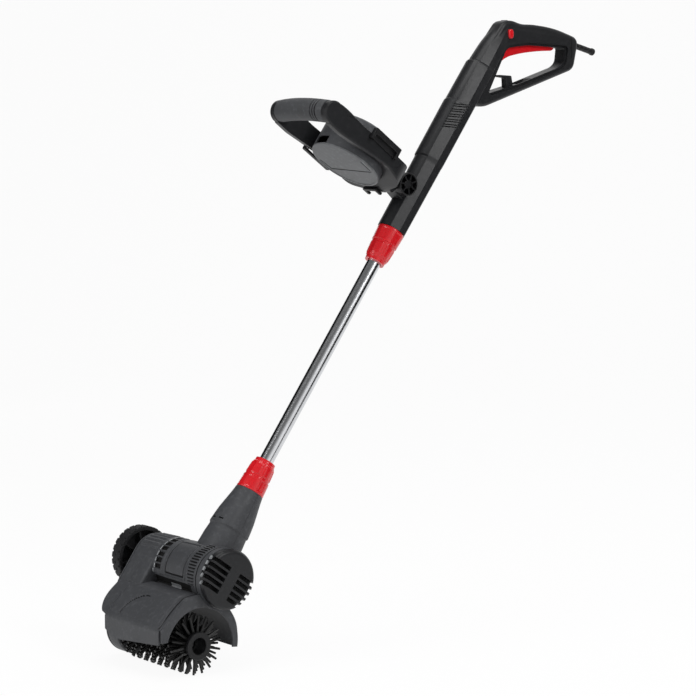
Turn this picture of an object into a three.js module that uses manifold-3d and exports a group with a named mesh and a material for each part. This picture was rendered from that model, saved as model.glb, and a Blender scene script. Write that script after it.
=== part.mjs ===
// An electric weed brush: a long tool with a rear loop handle, a tilting front handle,
// a telescopic tube and a motor head that drives a bristle roller under a guard.
// Millimetres, +Z up, the person holding it stands on the +Y side, the roller's free end is +X.
// The origin is the middle of the rear grip, and the shaft leans back as it does at work.
import * as THREE from 'three';
import { mergeVertices } from 'three/addons/utils/BufferGeometryUtils.js';
import Module from 'manifold-3d';

const wasm = await Module();
wasm.setup();

// Clearances and walls that many pieces share
const gap = 0.3;
const turning_gap = 0.75;
const overrun = 2;
const wall = 3;
const lean_deg = 36;

// Shaft frame: +Z runs up the shaft, -Y is its front, zero is the barrel's lower end.
// The barrel's top end lies this far in front of the rear grip's middle and above it.
const barrel_top_forward = 81.4065692;
const barrel_top_up = 24.4388004;

// Telescopic tube and its two clamp collars
const tube_radius = 12.5;
const tube_wall = 1.2;
const tube_visible = 408;
const tube_in_barrel = 66;
const tube_in_head = 34;
const collar_small_radius = 18;
const collar_large_radius = 25;
const upper_collar_length = 65.5;
const lower_collar_length = 59.5;
const collar_rib_height = 0.9;
const spigot_radius = 18.4;
const spigot_length = 36;
const bush_length = 24;
const collet_length = 46;
const collet_slit = 3;

// Barrel housing
const barrel_length = 459;
const barrel_half_width = 27.5;
const barrel_front = 28;
const barrel_spine_half_width = 22.5;
const barrel_back = 26;
const barrel_bore_radius = 21;
const barrel_bore_length = 268;
const vent_count = 5;
const vent_slant_deg = 28;
const vent_from_share = 0.59;
const vent_pitch = 11;
const vent_width = 4;
const vent_length = 19;
const vent_depth = 1.6;

// Rear loop handle, with outlines as shares of its reach
const loop_reach = 100;
const loop_half_width = 17;
const loop_round = 7;

// Trigger, switch and lock button
const trigger_half_width = 6;
const trigger_swing_deg = 4;
const trigger_pin_radius = 2;
const switch_length = 34;
const switch_height = 9;
const button_radius = 5.4;
const button_rise = 6;
const button_travel = 3;
const spring_wire = 0.7;

// Cord hook and bend protection sleeve
const sleeve_radius = 5.6;
const sleeve_bore = 3.6;
const sleeve_length = 52;

// Front handle, measured from its pivot
const pivot_up = 70;
const pivot_forward = 46;
const pivot_bolt_radius = 4;
const lug_radius = 14;
const lug_half_width = 14;
const ear_radius = 17;
const root_half_width = 30;
const handle_reach = 230;
const handle_drop = 11;
const handle_half_width = 78;
const grip_radius = 19.5;
const grip_core_radius = 12;
const grip_bow = 8;
const arm_half_height = 20;
const grip_core_inset = 2;
const grip_end_ridge = 0.5;
const knob_radius = 20.5;
const knob_length = 14;
const knob_lobes = 7;
const knob_rim = 2.4;
const knob_hub_radius = 8;
const knob_hub_set_back = 2.5;
const knob_rib_width = 2.2;
const knob_bevel = 1;

// Storage cup that the front handle carries between its arms
const arm_thickness = 13.5;
const cup_radius = handle_half_width - arm_thickness;
const cup_height = 71;
const cup_wall = 2.6;
const cup_reach = 108;
const cup_bottom = 36;
const lid_thickness = 3;
const cup_window_x = [-22, 10];
const cup_window_height = 15;
const cup_side_up = 14;
const cup_shoulder_in = 3;
const cup_shoulder_up = 6;
const cup_dome_in = 12;
const lid_step = 0.9;
const lid_bevel = 1;

// Motor head
const neck_length = 158;
const motor_left_radius = 46;
const motor_right_radius = 51;
const motor_left = -121;
const motor_right = 56;
const cap_length = 17;
const cap_slots = 5;
const cap_slot_pitch = 10.8;
const cap_slot_width = 5.2;
const case_left = -149;
const cover_thickness = 3;
const plate_thickness = 4;
const case_idler_radius = 55;
const case_brush_radius = 46.4;

// Gear train: tooth counts, module and face width
const pinion_teeth = 8;
const wheel_teeth = 38;
const second_pinion_teeth = 17;
const output_teeth = 32;
const gear_module = 2.5;
const gear_face = 8;
const set_back_deg = 9.2;

// Motor inside the head
const stator_radius = 41;
const stator_length = 58;
const rotor_radius = 21;
const rotor_air_gap = 0.8;
const rotor_shaft_radius = 5;
const commutator_radius = 11;
const fan_radius = 37;
const fan_blades = 5;
const bearing_radius = 9.5;
const bearing_width = 7;

// Roller brush
const roller_left = -113;
const roller_right = 58;
const core_radius = 20;
const band_radius = 23.5;
const bristle_reach = 50;
const bristle_width = 3;
const bristle_rows = 16;
const bristles_per_row = 19;
const bristle_bands = 4;
const spindle_radius = 8;
const hub_bore = 14;

// Brush guard, measured from the roller's axis
const guard_radius = 84;
const guard_wall = 3.4;
const guard_right = 52;
const guard_left = -146;
const guard_apron_out = 72;
const guard_apron_top = 35;
const guard_apron_bottom = 3;
const guard_slope_out = 48;
const guard_slope_up = 63;
const guard_corner = 30;
const guard_small_corner = 8;
const guard_back_deg = -10;
const guard_front_deg = 105;
const guard_opening_radius = 66.5;
const guard_opening_back = 6;
const guard_opening_down = 4;
const guard_opening_deg = 165;
const shoulder_right = -86;

// Guide wheel
const wheel_radius = 53;
const wheel_width = 24;
const wheel_left = -205;
const wheel_rim = 7;
const wheel_notches = 24;
const axle_radius = 5;
const axle_boss_radius = 13;

// Derived places along the shaft
const upper_collar_bottom = -upper_collar_length;
const lower_collar_top = upper_collar_bottom - tube_visible;
const lower_collar_bottom = lower_collar_top - lower_collar_length;
const motor_up = lower_collar_bottom - neck_length;
const cap_right = motor_right + cap_length;
const first_centre_distance = (pinion_teeth + wheel_teeth) / 2 * gear_module;
const second_centre_distance = (second_pinion_teeth + output_teeth) / 2 * gear_module;

const rad = THREE.MathUtils.degToRad;
const grip_back = barrel_top_forward + barrel_length * Math.sin(rad(lean_deg));
const grip_up = barrel_length * Math.cos(rad(lean_deg)) - barrel_top_up;
const motor_axis = { y: 0, z: motor_up };
const idler_axis = along_gears(first_centre_distance);
const brush_axis = along_gears(first_centre_distance + second_centre_distance);

function along_gears(distance) {
  const angle = rad(set_back_deg);
  return { y: distance * Math.sin(angle), z: motor_up - distance * Math.cos(angle) };
}

const shaft_to_product = new THREE.Matrix4()
  .makeRotationX(-rad(lean_deg))
  .setPosition(0, -grip_back, -grip_up);

// Materials

const paint = (color, roughness, metalness = 0) =>
  new THREE.MeshStandardMaterial({ color, roughness, metalness });
const charcoal = paint(0x3b3d40, 0.55);
const dark = paint(0x232427, 0.6);
const black = paint(0x141416, 0.7);
const red = paint(0xc3202a, 0.3);
const chrome = paint(0xd4d6d9, 0.12, 1);
const steel = paint(0xa9adb2, 0.35, 1);
const grey = paint(0x6c6e72, 0.6);
const copper = paint(0xb46a3c, 0.4, 1);
const brass = paint(0xc9a24b, 0.35, 1);
const spring_steel = paint(0x8d9196, 0.3, 1);

// Solids: closed geometries joined and cut

function solid(geometry) {
  const bare = geometry.clone();
  bare.deleteAttribute('normal');
  bare.deleteAttribute('uv');
  const merged = mergeVertices(bare, gap / 1000);
  const place = merged.attributes.position;
  const corners = [];
  for (let i = 0; i < merged.index.count; i += 3) {
    const [a, b, c] = [0, 1, 2].map((k) => merged.index.getX(i + k));
    if (a !== b && b !== c && c !== a) corners.push(a, b, c);
  }
  if (signed_volume(place, corners) < 0) corners.reverse();
  return new wasm.Manifold(new wasm.Mesh({
    numProp: 3,
    vertProperties: new Float32Array(place.array),
    triVerts: new Uint32Array(corners),
  }));
}

function signed_volume(place, corners) {
  const [a, b, c] = [new THREE.Vector3(), new THREE.Vector3(), new THREE.Vector3()];
  let sum = 0;
  for (let i = 0; i < corners.length; i += 3) {
    a.fromBufferAttribute(place, corners[i]);
    b.fromBufferAttribute(place, corners[i + 1]);
    c.fromBufferAttribute(place, corners[i + 2]);
    sum += a.dot(b.cross(c)) / 6;
  }
  return sum;
}

function join(...solids) {
  return solids.reduce((sum, next) => sum.add(next));
}

function cut(body, ...tools) {
  return tools.reduce((rest, tool) => rest.subtract(tool), body);
}

function geometry_of(body) {
  const mesh = body.getMesh();
  const geometry = new THREE.BufferGeometry();
  const count = mesh.vertProperties.length / mesh.numProp;
  const place = new Float32Array(count * 3);
  for (let i = 0; i < count; i += 1) {
    for (let k = 0; k < 3; k += 1) place[3 * i + k] = mesh.vertProperties[mesh.numProp * i + k];
  }
  geometry.setAttribute('position', new THREE.BufferAttribute(place, 3));
  geometry.setIndex(new THREE.BufferAttribute(new Uint32Array(mesh.triVerts), 1));
  geometry.computeVertexNormals();
  return geometry;
}

function piece(name, body, material) {
  const geometry = body.isBufferGeometry ? body : geometry_of(body);
  const mesh = new THREE.Mesh(geometry, material);
  mesh.name = name;
  return mesh;
}

function box(x0, x1, y0, y1, z0, z1) {
  const geometry = new THREE.BoxGeometry(x1 - x0, y1 - y0, z1 - z0);
  geometry.translate((x0 + x1) / 2, (y0 + y1) / 2, (z0 + z1) / 2);
  return solid(geometry);
}

// Plates: an outline carried through levels of [place, inset], with rounded edges where asked
const in_side = (y, z, x) => new THREE.Vector3(x, y, z);
const in_plan = (x, y, z) => new THREE.Vector3(x, y, z);

function plate(shape, levels, curve, place) {
  const outline = shape.getPoints(curve);
  if (outline[0].distanceTo(outline.at(-1)) < gap / 1000) outline.pop();
  if (THREE.ShapeUtils.isClockWise(outline)) outline.reverse();
  const inward = outline.map((_, i) => inward_corner(outline, i));
  const rings = levels.map(([level, inset]) => outline.map((point, i) =>
    place(point.x + inward[i].x * inset, point.y + inward[i].y * inset, level)));
  const cap = THREE.ShapeUtils.triangulateShape(outline, []);
  const area = cap.reduce((sum, [a, b, c]) => sum + turn(outline[a], outline[b], outline[c]), 0);
  return loft(rings, area > 0 ? cap : cap.map((face) => face.reverse()));
}

function inward_corner(outline, i) {
  const count = outline.length;
  const before = outline[i].clone().sub(outline[(i + count - 1) % count]).normalize();
  const after = outline[(i + 1) % count].clone().sub(outline[i]).normalize();
  const sum = new THREE.Vector2(-before.y - after.y, before.x + after.x);
  return sum.divideScalar(Math.max(1 + before.dot(after), 0.3));
}

function rounded_levels(from, to, round, segments) {
  if (round === 0) return [[from, 0], [to, 0]];
  const angles = Array.from({ length: segments + 1 }, (_, k) => Math.PI / 2 * k / segments);
  const inset = (angle) => round * (1 - Math.sin(angle));
  const along = (angle) => round * (1 - Math.cos(angle));
  return [
    ...angles.map((angle) => [from + along(angle), inset(angle)]),
    ...angles.slice().reverse().map((angle) => [to - along(angle), inset(angle)]),
  ];
}

function side_plate(shape, x0, x1, round = 0, segments = 2, curve = 6) {
  return plate(shape, rounded_levels(x0, x1, round, segments), curve, in_side);
}

function plan_plate(shape, z0, z1, round = 0, curve = 8) {
  return plate(shape, rounded_levels(z0, z1, round, 2), curve, in_plan);
}

// Revolved profiles of [radius, place] points
function turned_z(profile, segments = 24) {
  const points = profile.map(([r, a]) => new THREE.Vector2(r, a));
  const geometry = new THREE.LatheGeometry(points, segments);
  geometry.rotateX(Math.PI / 2);
  return solid(geometry);
}

function turned_x(profile, axis, segments = 24) {
  const points = profile.map(([r, a]) => new THREE.Vector2(r, a));
  const geometry = new THREE.LatheGeometry(points, segments);
  geometry.rotateZ(-Math.PI / 2);
  geometry.translate(0, axis.y, axis.z);
  return solid(geometry);
}

const rod_x = (radius, x0, x1, axis, segments = 16) =>
  turned_x([[0, x0], [radius, x0], [radius, x1], [0, x1]], axis, segments);
const rod_z = (radius, z0, z1, segments = 16) =>
  turned_z([[0, z0], [radius, z0], [radius, z1], [0, z1]], segments);
const ring_x = (inner, outer, x0, x1, axis, segments = 24) =>
  turned_x([[inner, x0], [outer, x0], [outer, x1], [inner, x1], [inner, x0]], axis, segments);

// Skin through closed rings of points; both ends are capped, as a fan unless cap lists triangles
function loft(rings, cap) {
  const count = rings[0].length;
  const place = rings.flat().flatMap((p) => [p.x, p.y, p.z]);
  const index = [];
  for (let j = 0; j + 1 < rings.length; j += 1) {
    for (let i = 0; i < count; i += 1) {
      const a = j * count + i;
      const b = j * count + (i + 1) % count;
      index.push(a, b, b + count, a, b + count, a + count);
    }
  }
  const fan = Array.from({ length: count - 2 }, (_, i) => [0, i + 1, i + 2]);
  for (const [a, b, c] of cap ?? fan) {
    const last = (rings.length - 1) * count;
    index.push(c, b, a, last + a, last + b, last + c);
  }
  const geometry = new THREE.BufferGeometry();
  geometry.setAttribute('position', new THREE.Float32BufferAttribute(place, 3));
  geometry.setIndex(index);
  return solid(geometry);
}

// Outline through corners, each [a, b, radius], with rounded corners
function rounded(corners) {
  const shape = new THREE.Shape();
  const points = corners.map(([a, b]) => new THREE.Vector2(a, b));
  points.forEach((corner, i) => {
    const before = points[(i + points.length - 1) % points.length];
    const after = points[(i + 1) % points.length];
    const radius = corners[i][2] ?? 0;
    const reach = Math.min(radius, corner.distanceTo(before) * 0.49, corner.distanceTo(after) * 0.49);
    const start = corner.clone().lerp(before, reach / corner.distanceTo(before));
    const end = corner.clone().lerp(after, reach / corner.distanceTo(after));
    if (i === 0) shape.moveTo(start.x, start.y);
    else shape.lineTo(start.x, start.y);
    if (reach > 0) shape.quadraticCurveTo(corner.x, corner.y, end.x, end.y);
  });
  shape.closePath();
  return shape;
}

// Convex outline round circles, each { y, z, r }
function belt_outline(circles, steps = 18) {
  const points = circles.flatMap(({ y, z, r }) =>
    Array.from({ length: steps }, (_, i) => {
      const angle = 2 * Math.PI * i / steps;
      return new THREE.Vector2(y + r * Math.cos(angle), z + r * Math.sin(angle));
    }));
  points.sort((p, q) => p.x - q.x || p.y - q.y);
  const half = (list) => list.reduce((chain, p) => {
    while (chain.length > 1 && turn(chain.at(-2), chain.at(-1), p) <= 0) chain.pop();
    chain.push(p);
    return chain;
  }, []);
  const lower = half(points);
  const upper = half(points.slice().reverse());
  return new THREE.Shape([...lower.slice(0, -1), ...upper.slice(0, -1)]);
}

function turn(a, b, c) {
  return (b.x - a.x) * (c.y - a.y) - (b.y - a.y) * (c.x - a.x);
}

// Round bar along a curve
function bar(points, radius, steps = 16, sides = 16) {
  const circle = new THREE.Shape();
  circle.absarc(0, 0, radius, 0, 2 * Math.PI);
  return solid(new THREE.ExtrudeGeometry(circle, {
    steps,
    curveSegments: sides / 2,
    extrudePath: new THREE.CatmullRomCurve3(points),
  }));
}

// Outline that repeats [share of a step, radius] points round an axis
function toothed(count, axis, points, turned = 0) {
  const outline = [];
  for (let i = 0; i < count; i += 1) {
    for (const [share, radius] of points) {
      const angle = 2 * Math.PI * (i + share) / count + turned;
      outline.push(new THREE.Vector2(axis.y + radius * Math.cos(angle), axis.z + radius * Math.sin(angle)));
    }
  }
  return new THREE.Shape(outline);
}

// Spur gear with straight-sided teeth, one of them turned towards the given direction
function gear(teeth, x0, x1, axis, toward_deg, turned = 0) {
  const pitch_radius = teeth * gear_module / 2;
  const tip = pitch_radius + 0.8 * gear_module;
  const root = pitch_radius - 1.1 * gear_module;
  const tooth = [[-0.31, root], [-0.11, tip], [0.11, tip], [0.31, root]];
  const angle = rad(toward_deg) + 2 * Math.PI * turned / teeth;
  return side_plate(toothed(teeth, axis, tooth, angle), x0, x1);
}

// Helical spring round the Z axis: an unbroken wire on a formula
class Helix extends THREE.Curve {
  constructor(radius, length, coils) {
    super();
    Object.assign(this, { radius, length, coils });
  }

  getPoint(t, target = new THREE.Vector3()) {
    const angle = 2 * Math.PI * this.coils * t;
    return target.set(this.radius * Math.cos(angle), this.radius * Math.sin(angle), this.length * t);
  }
}

function spring(radius, length, coils) {
  const section = new THREE.Shape();
  section.absarc(0, 0, spring_wire / 2, 0, 2 * Math.PI);
  return new THREE.ExtrudeGeometry(section, {
    steps: coils * 6,
    curveSegments: 2.5,
    extrudePath: new Helix(radius, length, coils),
  });
}

// Barrel housing with its rear loop, in the product frame

const barrel_stations = [
  // share of the length, then of half width, front and back
  [0, 0.94, 0.94, 0.94],
  [0.315, 0.98, 0.97, 0.98],
  [0.33, 1, 1.06, 1],
  [0.575, 1, 1.09, 1],
  [0.59, 0.98, 1.03, 1.01],
  [0.765, 0.95, 1.01, 1.03],
  [0.78, 0.91, 0.87, 1.05],
  [0.87, 0.85, 0.75, 1.06],
  [0.95, 0.7, 0.47, 0.95],
  [1, 0.36, 0.06, 0.42],
];
const barrel_flat_share = 0.44;

function barrel_body_ring([along_share, wide_share, front_share, back_share]) {
  const z = along_share * barrel_length;
  const half_width = wide_share * barrel_half_width;
  const front = front_share * barrel_front;
  const flat = back_share * barrel_back * barrel_flat_share;
  const steps = 7;
  const arc = Array.from({ length: steps + 1 }, (_, i) => {
    const angle = Math.PI * i / steps;
    return new THREE.Vector3(half_width * Math.cos(angle), -front * Math.sin(angle), z);
  });
  return [new THREE.Vector3(half_width, flat, z), ...arc, new THREE.Vector3(-half_width, flat, z)];
}

function barrel_spine_ring([along_share, wide_share, , back_share]) {
  const z = along_share * barrel_length;
  const half_width = wide_share * barrel_spine_half_width;
  const back = back_share * barrel_back;
  const steps = 5;
  const arc = Array.from({ length: steps + 1 }, (_, i) => {
    const angle = Math.PI * i / steps;
    return new THREE.Vector3(-half_width * Math.cos(angle), back * Math.sin(angle) ** 0.6, z);
  });
  const front = barrel_flat_share * barrel_back / 4;
  return [new THREE.Vector3(-half_width, -front, z), ...arc, new THREE.Vector3(half_width, -front, z)];
}

// Shares of the loop's reach, behind and above the grip's middle
const loop_outline_shares = [
  [-1.26, -0.1, 0.1], [-0.97, 0.24, 0.1], [-0.78, 0.26, 0.09], [-0.52, 0.19, 0.1],
  [-0.25, 0.19, 0.1], [0.09, 0.16, 0.2], [0.4, 0.105, 0.2], [0.96, -0.04, 0.19],
  [0.85, -0.65, 0.19], [-1.52, -1.35, 0.2], [-1.9, -1.2, 0.2],
];
const window_shares = [
  [0.5, -0.27, 0.08], [0.46, -0.56, 0.12], [-0.56, -0.84, 0.1],
  [-1.22, -0.98, 0.07], [-0.8, -0.24, 0.1], [-0.36, -0.185, 0.1], [0.22, -0.21, 0.1],
];
const trigger_shares = [
  [-0.975, -0.505, 0.085], [-0.8, -0.41, 0.06], [-0.44, -0.33, 0.15], [-0.03, -0.29, 0.2],
  [0.31, -0.28, 0.05], [0.37, -0.24, 0.03], [0.36, -0.17, 0.04], [0.28, -0.14, 0.04],
  [-0.4, -0.13, 0.04], [-0.84, -0.21, 0.05],
];
const pocket_shares = [
  [-1.03, -0.56], [-0.985, -0.2], [-0.86, -0.08], [-0.6, 0.05], [0.3, 0.05], [0.42, -0.06],
  [0.42, -0.26], [0.3, -0.31], [-0.03, -0.34], [-0.8, -0.5],
];
const trigger_pin_share = [0.31, -0.205];

const of_loop = (shares) => shares.map((row) => row.map((share) => share * loop_reach));
const trigger_pin_place = of_loop([trigger_pin_share])[0];

function shaft_solid(body) {
  return body.transform(Array.from(shaft_to_product.elements));
}

function barrel_solid() {
  return join(loft(barrel_stations.map(barrel_body_ring)), loft(barrel_stations.map(barrel_spine_ring)));
}

function spigot_solid() {
  return rod_z(spigot_radius, -spigot_length, overrun);
}

function pivot_lug_solid() {
  const axis = { y: -pivot_forward, z: pivot_up };
  const root = { y: -barrel_front / 2, z: pivot_up, r: lug_radius * 1.3 };
  return side_plate(belt_outline([{ ...axis, r: lug_radius }, root], 16), -lug_half_width, lug_half_width);
}

function barrel_bore_solid() {
  const stop = tube_radius + 2 * gap;
  const stop_low = collet_length - spigot_length - 2 * wall;
  const stop_high = stop_low + 2 * wall;
  return turned_z([
    [0, -spigot_length - overrun], [collet_radius() + gap, -spigot_length - overrun],
    [collet_radius() + gap, stop_low], [stop, stop_low], [stop, stop_high],
    [barrel_bore_radius, stop_high], [barrel_bore_radius, stop_high + barrel_bore_length],
    [wire_channel_radius, stop_high + barrel_bore_length + wall],
    [wire_channel_radius, barrel_length * 0.86], [0, barrel_length * 0.86],
  ], 16);
}

const wire_channel_radius = 7;
const collet_radius = () => spigot_radius - wall + gap;

// Short slanting grooves pressed into both sides of the barrel
function vent_grooves(side) {
  const grooves = [];
  for (let i = 0; i < vent_count; i += 1) {
    const z = vent_from_share * barrel_length + wall + i * vent_pitch;
    const groove = new THREE.BoxGeometry(vent_depth * 2, vent_length, vent_width);
    groove.rotateX(rad(vent_slant_deg));
    groove.translate(side * barrel_half_width, 0, z);
    grooves.push(solid(groove));
  }
  return shaft_solid(join(...grooves));
}

function loop_solid() {
  const outer = side_plate(rounded(of_loop(loop_outline_shares)),
    -loop_half_width, loop_half_width, loop_round, 1, 1);
  return outer.subtract(window_solid());
}

// The hand window flares at both sides, as a moulded loop's does
function window_solid() {
  const straight = loop_half_width - loop_round;
  const side = loop_half_width + overrun;
  const flare = -loop_round - overrun;
  const levels = [[-side, flare], [-straight, 0], [straight, 0], [side, flare]];
  return plate(rounded(of_loop(window_shares)), levels, 1, in_side);
}

function housing_block() {
  const outside = join(shaft_solid(join(barrel_solid(), spigot_solid(), pivot_lug_solid())), loop_solid());
  const pin_bore = rod_x(trigger_pin_radius + gap, -trigger_bore_half, trigger_bore_half, pin_axis());
  const bolt_bore = shaft_solid(rod_x(pivot_bolt_radius + gap, -lug_half_width - overrun,
    lug_half_width + overrun, { y: -pivot_forward, z: pivot_up }));
  const pocket = side_plate(rounded(of_loop(pocket_shares).map((p) => [...p, 0])),
    -trigger_half_width - 2 * gap, trigger_half_width + 2 * gap);
  return cut(outside, shaft_solid(barrel_bore_solid()), pocket, pin_bore, bolt_bore, button_bore(),
    cable_bore(), clamp_pocket(), hook_socket());
}

const trigger_pin_hold = 4;
const trigger_bore_half = trigger_half_width + trigger_pin_hold;
const pin_axis = () => ({ y: trigger_pin_place[0], z: trigger_pin_place[1] });

function housing_half(side) {
  const far = 2 * barrel_half_width;
  const reach = 8 * loop_reach;
  const keep = side > 0
    ? box(gap / 2, far, -reach, reach, -reach, reach)
    : box(-far, -gap / 2, -reach, reach, -reach, reach);
  return housing_block().intersect(keep).subtract(vent_grooves(side));
}

// Trigger, its pin, its return spring and the switch that it works

function trigger() {
  const shape = rounded(of_loop(trigger_shares));
  const body = side_plate(shape, -trigger_half_width, trigger_half_width, 2, 1, 1);
  return cut(body, rod_x(trigger_pin_radius + gap, -loop_half_width, loop_half_width, pin_axis(), 16));
}

function trigger_pin() {
  return rod_x(trigger_pin_radius, -trigger_bore_half + gap, trigger_bore_half - gap, pin_axis(), 16);
}

const pocket_roof = pocket_shares[4][1] * loop_reach;
const trigger_top = trigger_shares[8][1] * loop_reach;
const plunger_place = -0.06 * loop_reach;
const spring_place = -0.5 * loop_reach;
const plunger_radius = 2;

function switch_block() {
  const body = box(-trigger_half_width, trigger_half_width, plunger_place - switch_length / 2,
    plunger_place + switch_length / 2, pocket_roof - gap - switch_height, pocket_roof - gap);
  const bore = rod_z(plunger_radius + gap, -loop_reach, pocket_roof - wall, 8);
  return body.subtract(bore.translate([0, plunger_place, 0]));
}

function switch_plunger() {
  return rod_z(plunger_radius, trigger_top + gap, pocket_roof - switch_height + gap, 8)
    .translate([0, plunger_place, 0]);
}

function trigger_spring() {
  const length = pocket_roof - trigger_top - 2 * gap - spring_wire;
  const geometry = spring(wall, length, 3);
  geometry.translate(0, spring_place, trigger_top + gap + spring_wire / 2);
  return solid(geometry);
}

// Lock button on the right side, an upright oval that slides into the grip
const button_share = [-0.86, 0.01];
const button_depth = 9;
const button_place = button_share.map((share) => share * loop_reach);

function button_outline(clearance) {
  const shape = new THREE.Shape();
  const radius = button_radius + clearance;
  const [y, z] = button_place;
  shape.absarc(y, z + button_rise / 2, radius, 0, Math.PI);
  shape.absarc(y, z - button_rise / 2, radius, Math.PI, 2 * Math.PI);
  return shape;
}

function button_face() {
  return loop_half_width + button_travel + wall;
}

function lock_button() {
  return side_plate(button_outline(0), button_face() - button_depth, button_face(), 1.2, 1, 4);
}

function button_bore() {
  return side_plate(button_outline(gap), button_face() - button_depth - button_travel - 2 * gap,
    button_face() + overrun);
}

// Bend protection sleeve, cable clamp and the bore that the cord would run through
const sleeve_share = [0.93, -0.17];
const sleeve_place = sleeve_share.map((share) => share * loop_reach);
const sleeve_drop_deg = 14;
const sleeve_grip = 12;
const sleeve_rim = 1.4;
const sleeve_rim_width = 3;
const sleeve_rib_depth = 1;
const sleeve_ribs_from = 4;
const sleeve_ribs_length = sleeve_length - 14;
const sleeve_bead = 1.1;
const sleeve_bead_from = 6;
const sleeve_bead_round = 1;

function along_sleeve(body) {
  return body.rotate([-90 - sleeve_drop_deg, 0, 0]).translate([0, ...sleeve_place]);
}

function cord_sleeve() {
  const rim = sleeve_radius + sleeve_rim;
  const rim_end = -sleeve_grip + sleeve_rim_width;
  const outer = [[sleeve_bore, -sleeve_grip], [rim, -sleeve_grip], [rim, rim_end], [sleeve_radius, rim_end]];
  const ribs = 2;
  const pitch = sleeve_ribs_length / ribs;
  for (let i = 0; i < ribs; i += 1) {
    const start = sleeve_ribs_from + i * pitch;
    outer.push([sleeve_radius, start], [sleeve_radius - sleeve_rib_depth, start + 0.3 * pitch],
      [sleeve_radius, start + 0.7 * pitch]);
  }
  const bead = sleeve_radius + sleeve_bead;
  const bead_start = sleeve_length - sleeve_bead_from;
  outer.push([sleeve_radius, bead_start], [bead, bead_start + sleeve_bead_round],
    [bead, sleeve_length - sleeve_bead_round], [sleeve_radius, sleeve_length], [sleeve_bore, sleeve_length], [sleeve_bore, -sleeve_grip]);
  return along_sleeve(turned_z(outer, 8));
}

function cable_bore() {
  const flange = sleeve_radius + sleeve_rim + gap;
  const rim_end = -sleeve_grip + sleeve_rim_width + gap;
  return along_sleeve(turned_z([
    [0, -2.6 * sleeve_grip], [sleeve_bore, -2.6 * sleeve_grip], [sleeve_bore, -sleeve_grip - gap],
    [flange, -sleeve_grip - gap], [flange, rim_end],
    [sleeve_radius + gap, rim_end], [sleeve_radius + gap, sleeve_grip], [0, sleeve_grip],
  ], 16));
}

const clamp_share = [0.62, -0.09];
const clamp_size = { x: 9, y: 5, z: 4 };
const cord_squeeze = 0.4;

function clamp_box(clearance) {
  const [y, z] = clamp_share.map((share) => share * loop_reach);
  const { x, y: deep, z: tall } = clamp_size;
  return box(-x - clearance, x + clearance, y - deep - clearance, y + deep + clearance,
    z - tall - clearance, z + tall + clearance);
}

function clamp_pocket() {
  return clamp_box(gap);
}

function cable_clamp() {
  const [y, z] = clamp_share.map((share) => share * loop_reach);
  return clamp_box(0).subtract(side_groove(y, z - clamp_size.z));
}

function side_groove(y, z) {
  const round = new THREE.CylinderGeometry(sleeve_bore - cord_squeeze, sleeve_bore - cord_squeeze, 4 * clamp_size.y, 8);
  round.translate(0, y, z);
  return solid(round);
}

// Cord hook on the lower strut, a post with a long lip towards the barrel
const hook_shares = [
  [-0.66, -0.93, 0], [-0.73, -0.74, 0.02], [-0.99, -0.742, 0.02], [-1, -0.782, 0.02],
  [-0.845, -0.79, 0.02], [-0.865, -0.98, 0],
];
const hook_half_width = 7;

function cord_hook() {
  return side_plate(rounded(of_loop(hook_shares)), -hook_half_width, hook_half_width, 0.7, 1, 2);
}

function hook_socket() {
  const grown = of_loop(hook_shares);
  const [y0, z0] = grown[0];
  const [y1, z1] = grown[5];
  const shape = rounded([[y0 + gap, z0 - gap], [y0 - 0.07 * loop_reach + gap, z0 + 0.19 * loop_reach],
    [y1 + 0.02 * loop_reach - gap, z1 + 0.19 * loop_reach], [y1 - gap, z1 - gap]]);
  return side_plate(shape, -hook_half_width - gap, hook_half_width + gap);
}

// Telescopic tube, its guide bush and the two clamp collars, in the shaft frame

const tube_top = tube_in_barrel;
const tube_bottom = lower_collar_bottom - tube_in_head;

function telescopic_tube() {
  const inner = tube_radius - tube_wall;
  return turned_z([[inner, tube_bottom], [tube_radius, tube_bottom], [tube_radius, tube_top],
    [inner, tube_top], [inner, tube_bottom]], 16);
}

function tube_end_bush() {
  const top = tube_top + wall;
  const inner = tube_radius + gap;
  const lip = tube_radius - tube_wall;
  const outer = barrel_bore_radius - gap;
  return turned_z([[inner, top - bush_length], [outer, top - bush_length], [outer, top],
    [lip, top], [lip, tube_top + gap], [inner, tube_top + gap], [inner, top - bush_length]], 16);
}

function tube_collet() {
  const low = -spigot_length - 2 * wall;
  const inner = tube_radius + gap;
  const outer = collet_radius();
  const ring = turned_z([[inner, low], [outer, low], [outer, low + collet_length],
    [inner, low + collet_length], [inner, low]], 16);
  const slit = box(0, 2 * outer, -collet_slit / 2, collet_slit / 2, low - overrun,
    low + collet_length + overrun);
  return ring.subtract(slit);
}

// One collar, narrow end at zero and wide end at its length, with six raised grip panels
const collar_profile_shares = [[0, 0], [0.1, 0.08], [0.12, 0.3], [0.55, 0.62], [0.58, 0.82], [1, 1]];
const collar_panel_count = 6;
const collar_bore_shares = [0.12, 0.42];

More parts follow.
